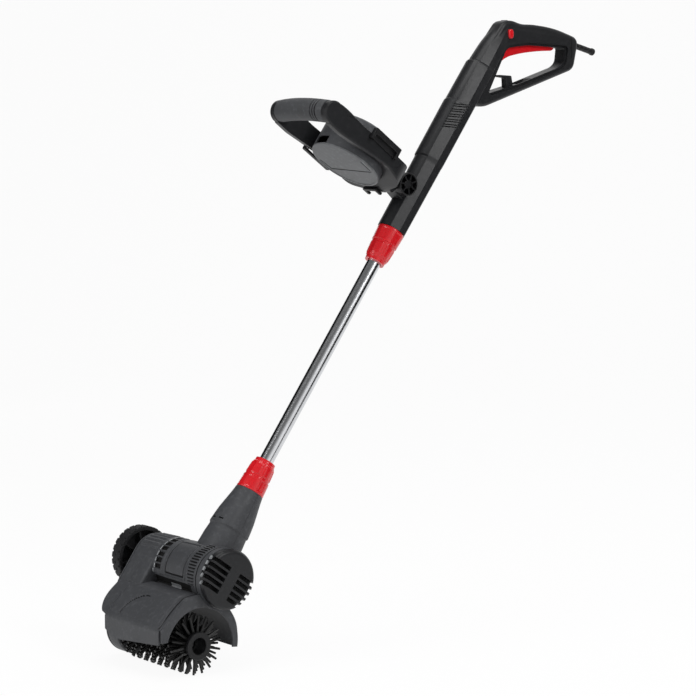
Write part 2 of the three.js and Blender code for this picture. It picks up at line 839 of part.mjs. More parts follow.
function collar(length) {
  const radius_at = (share) => collar_small_radius + share * (collar_large_radius - collar_small_radius);
  const skin = collar_profile_shares.map(([along, wide]) => [radius_at(wide), along * length]);
  const lip = tube_radius + 2 * gap;
  const pocket = collet_radius() + turning_gap;
  const threaded = spigot_radius + turning_gap;
  const [pocket_from, thread_from] = collar_bore_shares.map((share) => share * length);
  const bore = [[threaded, length], [threaded, thread_from], [pocket, thread_from],
    [pocket, pocket_from], [lip, pocket_from], [lip, 0]];
  const body = turned_z([...skin, ...bore, skin[0]], 16);
  const panels = [];
  for (let i = 0; i < collar_panel_count; i += 1) {
    const panel = new THREE.BoxGeometry(collar_small_radius * 0.5, 2 * collar_rib_height, length * 0.3);
    panel.rotateX(Math.atan((collar_large_radius - collar_small_radius) * 0.7 / length));
    panel.translate(0, -radius_at(0.46), 0.33 * length);
    panel.rotateZ(2 * Math.PI * i / collar_panel_count);
    panels.push(solid(panel));
  }
  return join(body, ...panels);
}

function upper_collar() {
  return collar(upper_collar_length).translate([0, 0, upper_collar_bottom - gap]);
}

function lower_collar() {
  return collar(lower_collar_length).rotate([180, 0, 0]).translate([0, 0, lower_collar_top + gap]);
}

// Front handle, in a frame at its pivot: -Y reaches out to the grip

const cup_place = { y: -cup_reach, z: 0 };
const grip_place = { y: -handle_reach, z: -handle_drop };

// Shares of the reach out from the pivot and of the arm's half height
const arm_outline_shares = [
  [-1, -1.6, 0.3], [-0.86, -1.62, 0.3], [-0.34, -0.9, 0.3], [-0.13, -1.45, 0.5], [-0.06, -1.45, 0.3],
  [-0.04, -0.8, 0.3], [-0.02, 0.85, 0.3], [-0.21, 1.5, 0.6], [-0.47, 1.45, 0.6], [-0.9, 0.8, 0.5],
  [-1, 0.5, 0.3],
];

function arm_side_outline() {
  return rounded(arm_outline_shares.map(([out, up, round]) =>
    [out * handle_reach, up * arm_half_height, round * arm_half_height]));
}

function cup_seat_radius() {
  return cup_radius + 2.5 * gap;
}

function handle_frame() {
  const inner = cup_seat_radius();
  const shoulder = cup_reach * 0.72;
  const plan = new THREE.Shape();
  plan.moveTo(-root_half_width, ear_radius);
  plan.lineTo(-root_half_width, -shoulder * 0.3);
  plan.quadraticCurveTo(-handle_half_width, -shoulder * 0.5, -handle_half_width, -shoulder * 1.25);
  plan.lineTo(-handle_half_width, -handle_reach - grip_radius);
  plan.lineTo(handle_half_width, -handle_reach - grip_radius);
  plan.lineTo(handle_half_width, -shoulder * 1.25);
  plan.quadraticCurveTo(handle_half_width, -shoulder * 0.5, root_half_width, -shoulder * 0.3);
  plan.lineTo(root_half_width, ear_radius);
  plan.closePath();
  const hole = new THREE.Path();
  hole.absarc(0, -cup_reach, inner, Math.PI, 0, true);
  hole.lineTo(inner, -2 * handle_reach);
  hole.lineTo(-inner, -2 * handle_reach);
  hole.closePath();
  const height = 4 * arm_half_height;
  const body = plan_plate(plan, -height, height, 0, 6);
  const cavity = plan_plate(new THREE.Shape(hole.getPoints(6)), -height - overrun, height + overrun);
  const side = side_plate(arm_side_outline(), -handle_half_width, handle_half_width, 1.5, 1, 1);
  const end = rod_x(grip_radius + grip_end_ridge, -handle_half_width, handle_half_width, grip_place, 16);
  const arms = cut(body.intersect(side.add(end)), cavity);
  const ears = rod_x(ear_radius, -root_half_width, root_half_width, { y: 0, z: 0 });
  const slot_half = lug_half_width + gap;
  const slot = box(-slot_half, slot_half, -lug_radius - 2 * gap - wall, 2 * ear_radius, -height, height);
  const bolt = rod_x(pivot_bolt_radius + gap, -2 * root_half_width, 2 * root_half_width, { y: 0, z: 0 });
  const nut = nut_solid(gap, -root_half_width - overrun, -root_half_width + nut_depth);
  return cut(join(arms, ears, grip_core()), slot, bolt, nut, pivot_clearance());
}

// The root stays clear of the barrel through the handle's whole tilt
function pivot_clearance() {
  const reach = pivot_forward - barrel_front * 1.07 - gap * 2;
  const half = root_half_width + overrun;
  const keep = belt_outline([{ y: 0, z: 0, r: reach }, { y: -handle_reach, z: 0, r: handle_reach * 0.75 }], 16);
  const block = box(-half, half, -cup_reach * 0.35, 3 * ear_radius, -handle_reach, handle_reach);
  return block.subtract(side_plate(keep, -half - overrun, half + overrun));
}

function grip_core() {
  const end = handle_half_width - grip_core_inset;
  return bar(bow_points(end), grip_core_radius, 4, 8);
}

function bow_points(end) {
  const { y, z } = grip_place;
  return [-1, -0.5, 0, 0.5, 1].map((share) =>
    new THREE.Vector3(share * end, y - grip_bow * (1 - share * share), z));
}

function front_grip() {
  const end = cup_seat_radius() - 2 * gap;
  const long = end + grip_radius / 2;
  const share = long / (handle_half_width - grip_core_inset);
  const { y, z } = grip_place;
  const points = [-1, -0.5, 0, 0.5, 1].map((t) =>
    new THREE.Vector3(t * long, y - grip_bow * (1 - (t * share) ** 2), z));
  const far = 2 * handle_reach;
  const sleeve = bar(points, grip_radius, 4, 12).intersect(box(-end, end, -far, far, -far, far));
  const core = bar(bow_points(handle_half_width - grip_core_inset), grip_core_radius + gap, 4, 8);
  const grooves = [];
  for (let i = 0; i < grip_grooves; i += 1) {
    const x = grip_groove_from + i * grip_groove_pitch;
    const place = { y: y - grip_bow * 0.9, z };
    grooves.push(ring_x(grip_radius - 1, grip_radius + overrun, x, x + grip_groove_pitch / 3, place, 12));
  }
  return cut(sleeve, core, ...grooves);
}

const grip_grooves = 3;
const grip_groove_from = 14;
const grip_groove_pitch = 4.5;
const nut_depth = 6;
const nut_across = 7.5;

function nut_solid(clearance, x0, x1) {
  return rod_x(nut_across + clearance, x0, x1, { y: 0, z: 0 }, 6);
}

const nut_inset = 0.5;

function pivot_nut() {
  const body = nut_solid(0, -root_half_width + nut_inset, -root_half_width + nut_depth - gap);
  return body.subtract(rod_x(pivot_bolt_radius + gap, -2 * root_half_width, 0, { y: 0, z: 0 }));
}

function pivot_bolt() {
  const end = root_half_width + gap + knob_length * 0.7;
  return rod_x(pivot_bolt_radius, -root_half_width - 2, end, { y: 0, z: 0 });
}

// Round clamp knob, a cupped rim with ribs round a hub
function pivot_knob() {
  const start = root_half_width + gap;
  const end = start + knob_length;
  const rim = knob_radius - knob_rim;
  const hub = knob_hub_radius;
  const hub_end = end - knob_hub_set_back;
  const body = turned_x([[0, start], [knob_radius - knob_bevel, start], [knob_radius, start + 2 * knob_bevel],
    [knob_radius, end], [rim, end], [rim, start + wall],
    [hub, start + wall], [hub, hub_end], [0, hub_end]], { y: 0, z: 0 }, 16);
  const ribs = [];
  for (let i = 0; i < knob_lobes; i += 1) {
    const rib = new THREE.BoxGeometry(knob_length - wall, knob_radius - hub, knob_rib_width);
    rib.translate((start + wall + end - knob_bevel) / 2, (knob_radius + hub) / 2 - knob_bevel, 0);
    rib.rotateX(2 * Math.PI * i / knob_lobes);
    ribs.push(solid(rib));
  }
  const bolt = rod_x(pivot_bolt_radius + gap, 0, start + knob_length * 0.75, { y: 0, z: 0 });
  return cut(join(body, ...ribs), bolt);
}

// Storage cup between the arms: its mouth faces down the shaft and the lid closes it

function storage_cup() {
  const low = -cup_bottom + lid_thickness;
  const top = low + cup_height - lid_thickness;
  const inner = cup_radius - cup_wall;
  const shell = turned_z([
    [inner, low], [cup_radius, low], [cup_radius, top - cup_side_up],
    [cup_radius - cup_shoulder_in, top - cup_shoulder_up], [cup_radius - cup_dome_in, top], [0, top],
    [0, top - cup_wall], [cup_radius - cup_dome_in - lid_bevel, top - cup_wall],
    [inner, top - cup_side_up - 2 * lid_bevel], [inner, low],
  ], 16).translate([0, -cup_reach, 0]);
  const [from, to] = cup_window_x;
  const window = box(from, to, -cup_reach - cup_radius - overrun, -cup_reach - cup_radius * 0.8,
    low - overrun, low + cup_window_height);
  return shell.subtract(window);
}

// Lid with a low step along a bent line and a coin slot in the middle
function storage_lid() {
  const low = -cup_bottom;
  const spigot = cup_radius - cup_wall - 2 * turning_gap;
  const disc = turned_z([[0, low], [cup_radius - lid_bevel, low], [cup_radius, low + lid_bevel],
    [cup_radius, low + lid_thickness - gap], [spigot, low + lid_thickness - gap],
    [spigot, low + lid_thickness + wall], [spigot - cup_wall, low + lid_thickness + wall],
    [spigot - cup_wall, low + lid_thickness - gap], [0, low + lid_thickness - gap]], 16);
  const bent = new THREE.Shape();
  bent.moveTo(-cup_radius * 0.9, -cup_radius * 0.12);
  bent.lineTo(-cup_radius * 0.42, cup_radius * 0.2);
  bent.lineTo(cup_radius * 0.75, cup_radius * 0.02);
  bent.absarc(0, 0, cup_radius * 0.93, 0.02, Math.PI * 1.04);
  const sunk = plan_plate(bent, low - overrun, low + lid_step, 0, 5);
  return disc.subtract(sunk).translate([0, -cup_reach, 0]);
}

// Brackets on the arms' outer faces and under the root, a bar between two posts
const bracket_length = 68;
const bracket_height = 21;
const bracket_thickness = 6;
const bracket_depth = 8;
const bracket_out = 112;
const right_bracket_foot = -2;
const left_bracket_foot = -34;
const root_bracket_length = 26;
const root_bracket_width = 17;

function bracket(length, height, x0, x1) {
  const half = length / 2;
  const post = half - bracket_thickness;
  const under = height - bracket_thickness;
  return side_plate(rounded([[-half, height, 2], [-half, 0], [-post, 0], [-post, under],
    [post, under], [post, 0], [half, 0], [half, height, 2]]), x0, x1, 0, 1, 2);
}

function bracket_right() {
  const start = handle_half_width + gap;
  return bracket(bracket_length, bracket_height, start, start + bracket_depth)
    .translate([0, -bracket_out, right_bracket_foot]);
}

function bracket_left() {
  const start = -handle_half_width - gap;
  return bracket(bracket_length, bracket_height, start - bracket_depth, start)
    .translate([0, -bracket_out, left_bracket_foot]);
}

function bracket_root() {
  const [out, up] = arm_outline_shares[4];
  const body = bracket(root_bracket_length, root_bracket_width, 0, bracket_depth * 0.6);
  return body.rotate([90, 90, 0]).translate([-root_bracket_length / 2,
    out * handle_reach, up * arm_half_height - gap]);
}

// Motor head, in the shaft frame: neck, motor housing and gear case in two shells

const head_spigot_top = lower_collar_bottom + (1 - collar_bore_shares[1]) * lower_collar_length - overrun;
const motor_steps = 16;
const plate_right = motor_left;
const flank_right = plate_right + wall;
const cover_right = case_left - gap;
const bulkhead = [42, 50];
const motor_bore = stator_radius + gap;

const case_circles = (grow) => [
  { ...motor_axis, r: motor_left_radius + grow },
  { ...idler_axis, r: case_idler_radius + grow },
  { ...brush_axis, r: case_brush_radius + grow },
];

// Shares of the way from the left end to the right end, and of the growth in radius
const motor_stations = [[0, 0], [0.3, 0.25], [0.6, 0.7], [0.97, 1], [1, 0.9]];

function motor_body(grow) {
  const rings = motor_stations.map(([along, wide]) => {
    const x = case_left + along * (motor_right - case_left);
    const radius = motor_left_radius + wide * (motor_right_radius - motor_left_radius) + grow;
    return circle_ring(x, radius);
  });
  return loft(rings);
}

function circle_ring(x, radius, steps = motor_steps) {
  return Array.from({ length: steps }, (_, i) => {
    const angle = 2 * Math.PI * i / steps;
    return new THREE.Vector3(x, motor_axis.y + radius * Math.cos(angle),
      motor_axis.z + radius * Math.sin(angle));
  });
}

// Shares of the neck's length down from the collar, and of the collar's radius
const neck_stations = [
  [0.99, 1.28], [0.82, 1.38], [0.6, 1.34], [0.485, 1.27], [0.47, 1.35], [0.3, 1.25],
  [0.03, 1.03], [0, 1],
];

function neck() {
  const profile = neck_stations.map(([down, wide]) =>
    [wide * collar_large_radius, lower_collar_bottom - gap - down * neck_length]);
  return turned_z([[0, profile[0][1]], ...profile, [0, profile.at(-1)[1]]], 16);
}

// Front of the gear case where it spreads above the roller's guard
function shoulder() {
  const outline = belt_outline(case_circles(0).slice(0, 2));
  const spread = side_plate(outline, flank_right - overrun, shoulder_right);
  const hood = rod_x(guard_radius + turning_gap, wheel_left, motor_right, brush_axis, 2 * motor_steps);
  return spread.subtract(hood);
}

function head_outside() {
  const flank = side_plate(belt_outline(case_circles(0)), case_left, flank_right, 2, 1);
  const spigot = rod_z(spigot_radius, lower_collar_bottom - wall, head_spigot_top, 16);
  return join(motor_body(0), flank, shoulder(), neck(), spigot);
}

function head_cavity() {
  const [bulk_left, bulk_right] = bulkhead;
  const gears = side_plate(belt_outline(case_circles(-wall)), case_left - overrun, plate_right);
  const motor = rod_x(motor_bore, plate_right - wall, bulk_left, motor_axis, motor_steps);
  const end = rod_x(motor_bore, bulk_right, motor_right + overrun, motor_axis, motor_steps);
  const seat = rod_x(bearing_radius + gap, bulk_left - overrun, bulk_right + overrun, motor_axis);
  const spindle_seat = rod_x(bearing_radius + gap, plate_right - overrun, flank_right + overrun, brush_axis);
  const socket = turned_z([[0, motor_up], [wire_channel_radius, motor_up],
    [wire_channel_radius, tube_bottom - gap], [tube_radius + gap, tube_bottom - gap],
    [tube_radius + gap, head_spigot_top + overrun], [0, head_spigot_top + overrun]], 16);
  return join(gears, motor, end, seat, spindle_seat, socket);
}

// Small air windows in an arc round the front of the motor housing
const window_count = 7;
const window_pitch_deg = 13;
const window_x = -70;
const air_window = { x: 7, z: 7.5 };

function air_windows() {
  const middle = (window_count - 1) / 2;
  const cuts = [];
  for (let i = 0; i < window_count; i += 1) {
    const window = new THREE.BoxGeometry(air_window.x, motor_left_radius, air_window.z);
    window.translate(window_x, -motor_left_radius - wall, 0);
    window.rotateX(rad(window_pitch_deg * (i - middle)));
    window.translate(0, motor_axis.y, motor_axis.z);
    cuts.push(solid(window));
  }
  return cuts;
}

// Shallow recess between the air windows and the right end, and lengthwise ribs at the left
const panel_x = [-52, 14];
const panel_half_deg = 42;
const panel_depth = 0.8;
const bearing_seat_wall = 2;

function panel_recess() {
  const [x0, x1] = panel_x;
  const radius = motor_left_radius + (motor_right_radius - motor_left_radius) * 0.5;
  return sector(radius - panel_depth, radius + 2 * wall, -panel_half_deg, panel_half_deg, x0, x1);
}

// Part of a ring round the motor's axis, with its angles counted from the front
function sector(inner, outer, from_deg, to_deg, x0, x1, axis = motor_axis, curve = 4) {
  const shape = new THREE.Shape();
  const from = Math.PI - rad(to_deg);
  const to = Math.PI - rad(from_deg);
  shape.absarc(axis.y, axis.z, outer, from, to);
  shape.absarc(axis.y, axis.z, inner, to, from, true);
  shape.closePath();
  return side_plate(shape, x0, x1, 0, 1, curve);
}

function head_block() {
  return cut(head_outside(), head_cavity(), ...air_windows(), panel_recess());
}

function head_shell(side) {
  const far = 2 * neck_length + 8 * collar_large_radius;
  const [y0, y1] = side < 0 ? [-far, -gap / 2] : [gap / 2, far];
  return head_block().intersect(box(-far, far, y0, y1, motor_up - far, motor_up + far));
}

// Round end cap with air slots that run out through its rim at the front and at the back
const cap_middle_half = 11;

function vent_cap() {
  const start = motor_right + gap;
  const round = 4;
  const radius = motor_right_radius;
  const body = turned_x([[0, start], [radius, start], [radius, cap_right - round],
    [radius - round, cap_right],
    [0, cap_right]], motor_axis, motor_steps);
  const spigot = ring_x(motor_bore - 2 * wall, motor_bore - gap, start - wall, start + gap, motor_axis, motor_steps);
  const slots = [];
  for (let i = 0; i < cap_slots; i += 1) {
    const z = motor_up + (i - (cap_slots - 1) / 2 - 0.6) * cap_slot_pitch;
    const half = cap_slot_width / 2;
    const depth = cap_length * 0.6;
    const far = 2 * radius;
    slots.push(box(cap_right - depth, cap_right + overrun, -far, -cap_middle_half, z - half, z + half));
    slots.push(box(cap_right - depth, cap_right + overrun, cap_middle_half, far, z - half, z + half));
  }
  return cut(join(body, spigot), ...slots);
}

function gear_plate() {
  const shape = belt_outline(case_circles(-wall - gap));
  const plate = side_plate(shape, plate_right - gap - plate_thickness, plate_right - gap);
  const bores = [
    rod_x(bearing_radius + gap, case_left, 0, motor_axis, 10),
    rod_x(idler_axle_radius + gap, case_left, 0, idler_axis, 12),
    rod_x(bearing_radius + gap, case_left, 0, brush_axis, 10),
  ];
  return cut(plate, ...bores);
}

function gear_cover() {
  const outer = cover_right - cover_thickness;
  const plate = side_plate(belt_outline(case_circles(0)), outer, cover_right, 1, 1);
  const boss = rod_x(axle_boss_radius, wheel_right() + gap, outer + gap, motor_axis, 12);
  const seat = ring_x(bearing_radius + gap, bearing_radius + gap + bearing_seat_wall, cover_right - gap,
    cover_right + bearing_width, brush_axis, 14);
  const recess = rod_x(idler_axle_radius + gap, outer + axle_seat_floor, 0, idler_axis, 12);
  const axle = rod_x(axle_radius + gap, wheel_left, outer - wall, motor_axis, 12);
  return cut(join(plate, boss, seat), recess, axle);
}

// Motor: rotor with its pinion, stator, coils, commutator, carbon blocks, fan and bearings

const down_deg = set_back_deg - 90;
const idler_axle_radius = 4;
const gear_one_left = case_left + 1.5;
const gear_one = [gear_one_left, gear_one_left + gear_face];
const gear_two_left = gear_one[1] + 1;
const gear_two = [gear_two_left, gear_two_left + gear_face];
const stator_left = -46;
const stator_x = [stator_left, stator_left + stator_length];
const stack_inset = 1;
const commutator_slot = 1;
const fan_hub_radius = 10;
const fan_disc_inner = 8;
const fan_disc_thickness = 2;
const fan_blade_thickness = 1.6;
const fan_blade_inset = 3;
const coil_overhang = 9;
const fan_x = [-78, -63];
const commutator_x = [24, 38];
const plate_bearing = [plate_right - gap - plate_thickness, plate_right - gap - plate_thickness + bearing_width];
const end_bearing = [bulkhead[1] - bearing_width, bulkhead[1]];

function rotor_shaft() {
  const end = end_bearing[1] + overrun;
  const shaft = rod_x(rotor_shaft_radius, gear_one[1] - gap, end, motor_axis, 12);
  return join(shaft, gear(pinion_teeth, ...gear_one, motor_axis, down_deg));
}

// Round part with straight slots along its length
function slotted(radius, slots, depth, x0, x1, bore) {
  const low = radius - depth;
  const shape = toothed(slots, motor_axis, [[0, radius], [0.78, radius], [0.78, low], [1, low]]);
  return side_plate(shape, x0, x1).subtract(rod_x(bore, x0 - overrun, x1 + overrun, motor_axis, 12));
}

function rotor_core() {
  const bore = rotor_shaft_radius + gap;
  const [x0, x1] = stator_x;
  const heads = ring_x(bore, rotor_radius * 0.8, x0 - coil_overhang, x1 + coil_overhang, motor_axis, 12);
  return join(slotted(rotor_radius, 8, wall, x0 + stack_inset, x1 - stack_inset, bore), heads);
}

function commutator() {
  return slotted(commutator_radius, 8, commutator_slot, ...commutator_x, rotor_shaft_radius + gap);
}

function cooling_fan() {
  const [x0, x1] = fan_x;
  const hub = ring_x(rotor_shaft_radius + gap, fan_hub_radius, x0, x1, motor_axis, 12);
  const disc = ring_x(fan_disc_inner, fan_radius, x1 - fan_disc_thickness, x1, motor_axis, 14);
  const blades = [];
  for (let i = 0; i < fan_blades; i += 1) {
    const blade = new THREE.BoxGeometry(x1 - x0 - fan_blade_inset, fan_radius - fan_hub_radius,
      fan_blade_thickness);
    blade.translate((x0 + x1) / 2, (fan_radius + fan_disc_inner) / 2, 0);
    blade.rotateX(2 * Math.PI * i / fan_blades);
    blade.translate(0, motor_axis.y, motor_axis.z);
    blades.push(solid(blade));
  }
  return join(hub, disc, ...blades);
}

const pole_half_deg = 34;
const coil_half_deg = 76;
const yoke_thickness = 7;
const yoke_inner = stator_radius - yoke_thickness;
const yoke_joint = 1;
const coil_to_rotor = 2.4;
const coil_radii = [rotor_radius + rotor_air_gap + coil_to_rotor, yoke_inner - 2.5 * gap];

function stator_core() {
  const yoke = ring_x(yoke_inner, stator_radius, ...stator_x, motor_axis, motor_steps);
  const face = rotor_radius + rotor_air_gap;
  const poles = [0, 180].map((turned) =>
    sector(face, yoke_inner + yoke_joint, turned - pole_half_deg, turned + pole_half_deg, ...stator_x));
  return join(yoke, ...poles);
}

function field_coil(turned) {
  const [x0, x1] = stator_x;
  const [inner, outer] = coil_radii;
  const clear = 1.2;
  const frame = sector(inner, outer, turned - coil_half_deg, turned + coil_half_deg,
    x0 - coil_overhang, x1 + coil_overhang);
  const pole = sector(inner - wall, outer + wall, turned - pole_half_deg - clear,
    turned + pole_half_deg + clear, x0 - gap, x1 + gap);
  return frame.subtract(pole);
}

const block_half = { y: 3, x: 4 };
const holder_wall = 1.5;

function radial_box(half_x, half_y, from, to) {
  const middle = (commutator_x[0] + commutator_x[1]) / 2;
  return box(middle - half_x, middle + half_x, -half_y, half_y, motor_up + from, motor_up + to);
}

const holder_to_commutator = 2;
const holder_in_ring = 2;
const block_to_yoke = 3;

function carbon_bridge() {
  const ring = ring_x(yoke_inner + yoke_joint, stator_radius, ...commutator_x, motor_axis, motor_steps);
  const from = commutator_radius + holder_to_commutator;
  const to = yoke_inner + holder_in_ring;
  const tubes = [1, -1].map((side) => radial_box(block_half.x + gap + holder_wall,
    block_half.y + gap + holder_wall, Math.min(side * from, side * to), Math.max(side * from, side * to)));
  const far = stator_radius + yoke_joint;
  const bores = [1, -1].map((side) => radial_box(block_half.x + gap, block_half.y + gap,
    Math.min(side * from / 2, side * far), Math.max(side * from / 2, side * far)));
  return cut(join(ring, ...tubes), ...bores);
}

function carbon_block(side) {
  const from = commutator_radius + gap;
  const to = yoke_inner - block_to_yoke;
  return radial_box(block_half.x, block_half.y, Math.min(side * from, side * to),
    Math.max(side * from, side * to));
}

function bearing(x, axis, shaft_radius) {
  return ring_x(shaft_radius + gap, bearing_radius, x[0], x[1], axis, 10);
}

// Reduction gears between the rotor's pinion and the roller's spindle

function idler_gear() {
  const wheel = gear(wheel_teeth, ...gear_one, idler_axis, down_deg + 180, 0.5);
  const second = gear(second_pinion_teeth, gear_one[1] - gap, gear_two[1], idler_axis, down_deg);
  const bore = rod_x(idler_axle_radius + gap, case_left, 0, idler_axis, 12);
  return join(wheel, second).subtract(bore);
}

function output_gear() {
  const bore = rod_x(spindle_end_radius + gap, case_left, 0, brush_axis, 12);
  return gear(output_teeth, ...gear_two, brush_axis, down_deg + 180, 0.5).subtract(bore);
}

const axle_seat_floor = 1;

function idler_axle() {
  const left = cover_right - cover_thickness + axle_seat_floor + gap;
  return rod_x(idler_axle_radius, left, plate_right - gap - axle_seat_floor, idler_axis, 12);
}

const spindle_end_radius = 5;
const spindle_right = 22;
const spindle_bore_depth = 20;

function brush_spindle() {
  const left = cover_right + 2 * gap;
  const shoulder = plate_bearing[1] + gap;
  const body = turned_x([[0, left], [spindle_end_radius, left], [spindle_end_radius, shoulder],
    [spindle_radius, shoulder], [spindle_radius, spindle_right], [0, spindle_right]], brush_axis, 12);
  return body.subtract(rod_x(bolt_radius + gap, spindle_right - spindle_bore_depth, spindle_right + overrun, brush_axis, 12));
}

const bolt_radius = 3;
const bolt_depth = 18;
const bolt_head = { radius: 7, height: 6 };
const washer_thickness = 2.5;
const washer_inset = 1;

function roller_bolt() {
  const washer = spindle_right + gap;
  const head = washer + washer_thickness;
  return join(
    rod_x(bolt_radius, spindle_right - bolt_depth, washer + gap, brush_axis, 12),
    rod_x(hub_bore - washer_inset, washer, head, brush_axis, 12),
    rod_x(bolt_head.radius, head - gap, head + bolt_head.height, brush_axis, 6),
  );
}

// Roller: a core with a flange at each end, and bristle bands round it

const flange_width = 6;

function roller_core() {
  const left_flange = roller_left + wall;
  const right_flange = roller_right - flange_width;
  return turned_x([
    [spindle_radius + gap, roller_left], [band_radius, roller_left], [band_radius, left_flange],
    [core_radius, left_flange], [core_radius, right_flange], [band_radius, right_flange],
    [band_radius, roller_right], [hub_bore, roller_right],
    [hub_bore, spindle_right - wall], [spindle_radius + gap, spindle_right - wall],
    [spindle_radius + gap, roller_left],
  ], brush_axis, 12);
}

// Tufts stand in rows; each row is turned half a step against the next
function bristle_band(band) {
  const from = roller_left + wall + gap;
  const to = roller_right - flange_width - gap;
  const length = (to - from) / bristle_bands;
  const x0 = from + band * length + gap / 2;
  const x1 = x0 + length - gap;
  const rows = bristle_rows / bristle_bands;
  const tufts = [];
  for (let row = 0; row < rows; row += 1) {
    const x = x0 + (row + 0.5) * length / rows;
    for (let i = 0; i < bristles_per_row; i += 1) {
      tufts.push(tuft(x, 2 * Math.PI * (i + row % 2 / 2) / bristles_per_row));
    }
  }
  return join(ring_x(core_radius + gap, band_radius, x0, x1, brush_axis, bristles_per_row), ...tufts);
}

const bristle_root = 1;

// One three-sided tuft from inside the band out to the roller's reach
function tuft(x, angle) {
  const out = new THREE.Vector3(0, Math.cos(angle), Math.sin(angle));
  const across = new THREE.Vector3(0, -Math.sin(angle), Math.cos(angle));
  const middle = new THREE.Vector3(x, brush_axis.y, brush_axis.z);
  const rings = [band_radius - bristle_root, bristle_reach].map((reach) => [0, 1, 2].map((corner) => {
    const turned = 2 * Math.PI * corner / 3;
    const point = middle.clone().addScaledVector(out, reach);
    point.addScaledVector(across, bristle_width / 2 * Math.cos(turned));
    point.x += bristle_width / 2 * Math.sin(turned);
    return point;
  }));
  return loft(rings);
}

// Guard: a hood over the roller with an apron at the front and a saddle under the motor

// Outline of the hood from its back rim over the top to the apron's foot, a given depth below the skin
function guard_line(shape, depth) {
  const [low, high] = [rad(guard_back_deg), rad(guard_front_deg)];
  shape.absarc(0, 0, guard_radius - depth, low, high);
  shape.quadraticCurveTo(depth - guard_slope_out, guard_slope_up - depth, depth - guard_apron_out,
    guard_apron_top - depth);
  return shape;
}

function guard_outline() {
  const outer = guard_line(new THREE.Shape(), 0);
  outer.lineTo(-guard_apron_out, guard_apron_bottom);
  outer.lineTo(guard_wall - guard_apron_out, guard_apron_bottom);
  const inner = guard_line(new THREE.Shape(), guard_wall).getPoints(6).reverse();
  for (const point of inner) outer.lineTo(point.x, point.y);
  outer.closePath();
  return outer;
}

function flange_outline() {
  const rim = guard_line(new THREE.Shape(), 1);
  const foot = guard_opening_radius * Math.sin(rad(guard_opening_deg)) - guard_opening_down;
  rim.lineTo(1 - guard_apron_out, foot);
  rim.absarc(guard_opening_back, -guard_opening_down, guard_opening_radius, rad(guard_opening_deg),
    rad(guard_back_deg), true);
  rim.closePath();
  return rim;
}

function guard_plan() {
  const back = guard_radius + overrun;
  return rounded([[guard_left, -guard_apron_out, guard_corner],
    [guard_right, -guard_apron_out, guard_small_corner], [guard_right, back, guard_small_corner],
    [guard_left, back, guard_corner / 2]]);
}

function at_roller(body) {
  return body.rotate([lean_deg, 0, 0]).translate([0, brush_axis.y, brush_axis.z]);
}

function brush_guard() {
  const hood = side_plate(guard_outline(), guard_left, guard_right, 0, 1, 10);
  const flange = side_plate(flange_outline(), guard_right - guard_wall, guard_right, 0, 1, 8);
  const plan = plan_plate(guard_plan(), -guard_radius, 2 * guard_radius, 0, 6);
  const filled = new THREE.Shape();
  filled.absarc(0, 0, guard_radius - 1, 0, Math.PI);
  const under_hood = side_plate(filled, flank_right + gap, guard_right, 0, 1, 9);
  const saddle = motor_body(gap + wall).intersect(at_roller(under_hood));
  const body = join(at_roller(join(hood, flange).intersect(plan)), saddle);
  const case_envelope = side_plate(belt_outline(case_circles(gap)), wheel_left, flank_right + gap);
  const motor_envelope = join(motor_body(gap), rod_x(motor_left_radius, wheel_left, 0, motor_axis));
  return cut(body, case_envelope, motor_envelope);
}

// Guide wheel on a bolt beside the gear case

const wheel_hub_out = 2;
const wheel_web_from = 5;
const wheel_web_thickness = 3;
const wheel_hub_inset = 1;
const wheel_rib_box = { x: 11, z: 4, overlap: 3, out: 5 };
const axle_head = { radius: 9.5, height: 4, bevel: 0.5, bevel_length: 3 };
const wheel_right = () => wheel_left + wheel_width + wheel_hub_out;

function guide_wheel() {
  const right = wheel_left + wheel_width;
  const inner = wheel_radius - wheel_rim;
  const web = [wheel_left + wheel_web_from, wheel_left + wheel_web_from + wheel_web_thickness];
  const low = wheel_radius - wheel_notch_depth;
  const tread = toothed(wheel_notches, motor_axis,
    [[0.15, wheel_radius], [0.85, wheel_radius], [0.92, low], [1.08, low]]);
  const inside = rod_x(inner, wheel_left - overrun, right + overrun, motor_axis, 16);
  const rim = side_plate(tread, wheel_left, right).subtract(inside);
  const disc = rod_x(inner + wheel_hub_inset, ...web, motor_axis, 16);
  const hub = rod_x(axle_boss_radius - wheel_hub_inset, wheel_left + wheel_hub_inset, wheel_right(), motor_axis, 12);
  const ribs = [];
  for (let i = 0; i < wheel_ribs; i += 1) {
    const rib = new THREE.BoxGeometry(wheel_rib_box.x, inner - axle_boss_radius + wheel_rib_box.overlap,
      wheel_rib_box.z);
    rib.translate(web[1] + wheel_rib_box.out, (inner + axle_boss_radius) / 2, 0);
    rib.rotateX(2 * Math.PI * i / wheel_ribs);
    rib.translate(0, motor_axis.y, motor_axis.z);
    ribs.push(solid(rib));
  }
  const bore = rod_x(axle_radius + gap, wheel_left - overrun, wheel_right() + overrun, motor_axis, 12);
  return cut(join(rim, disc, hub, ...ribs), bore);
}

const wheel_notch_depth = 2;
const wheel_ribs = 4;

function wheel_axle() {
  const inside = cover_right - cover_thickness - wall - 2 * gap;
  const head = wheel_left + wheel_hub_inset - gap;
  const { radius, height, bevel, bevel_length } = axle_head;
  return turned_x([[0, head - height], [radius - bevel, head - height], [radius, head - bevel_length],
    [radius, head], [axle_radius, head],
    [axle_radius, inside], [0, inside]], motor_axis, 12);
}

// Assembly

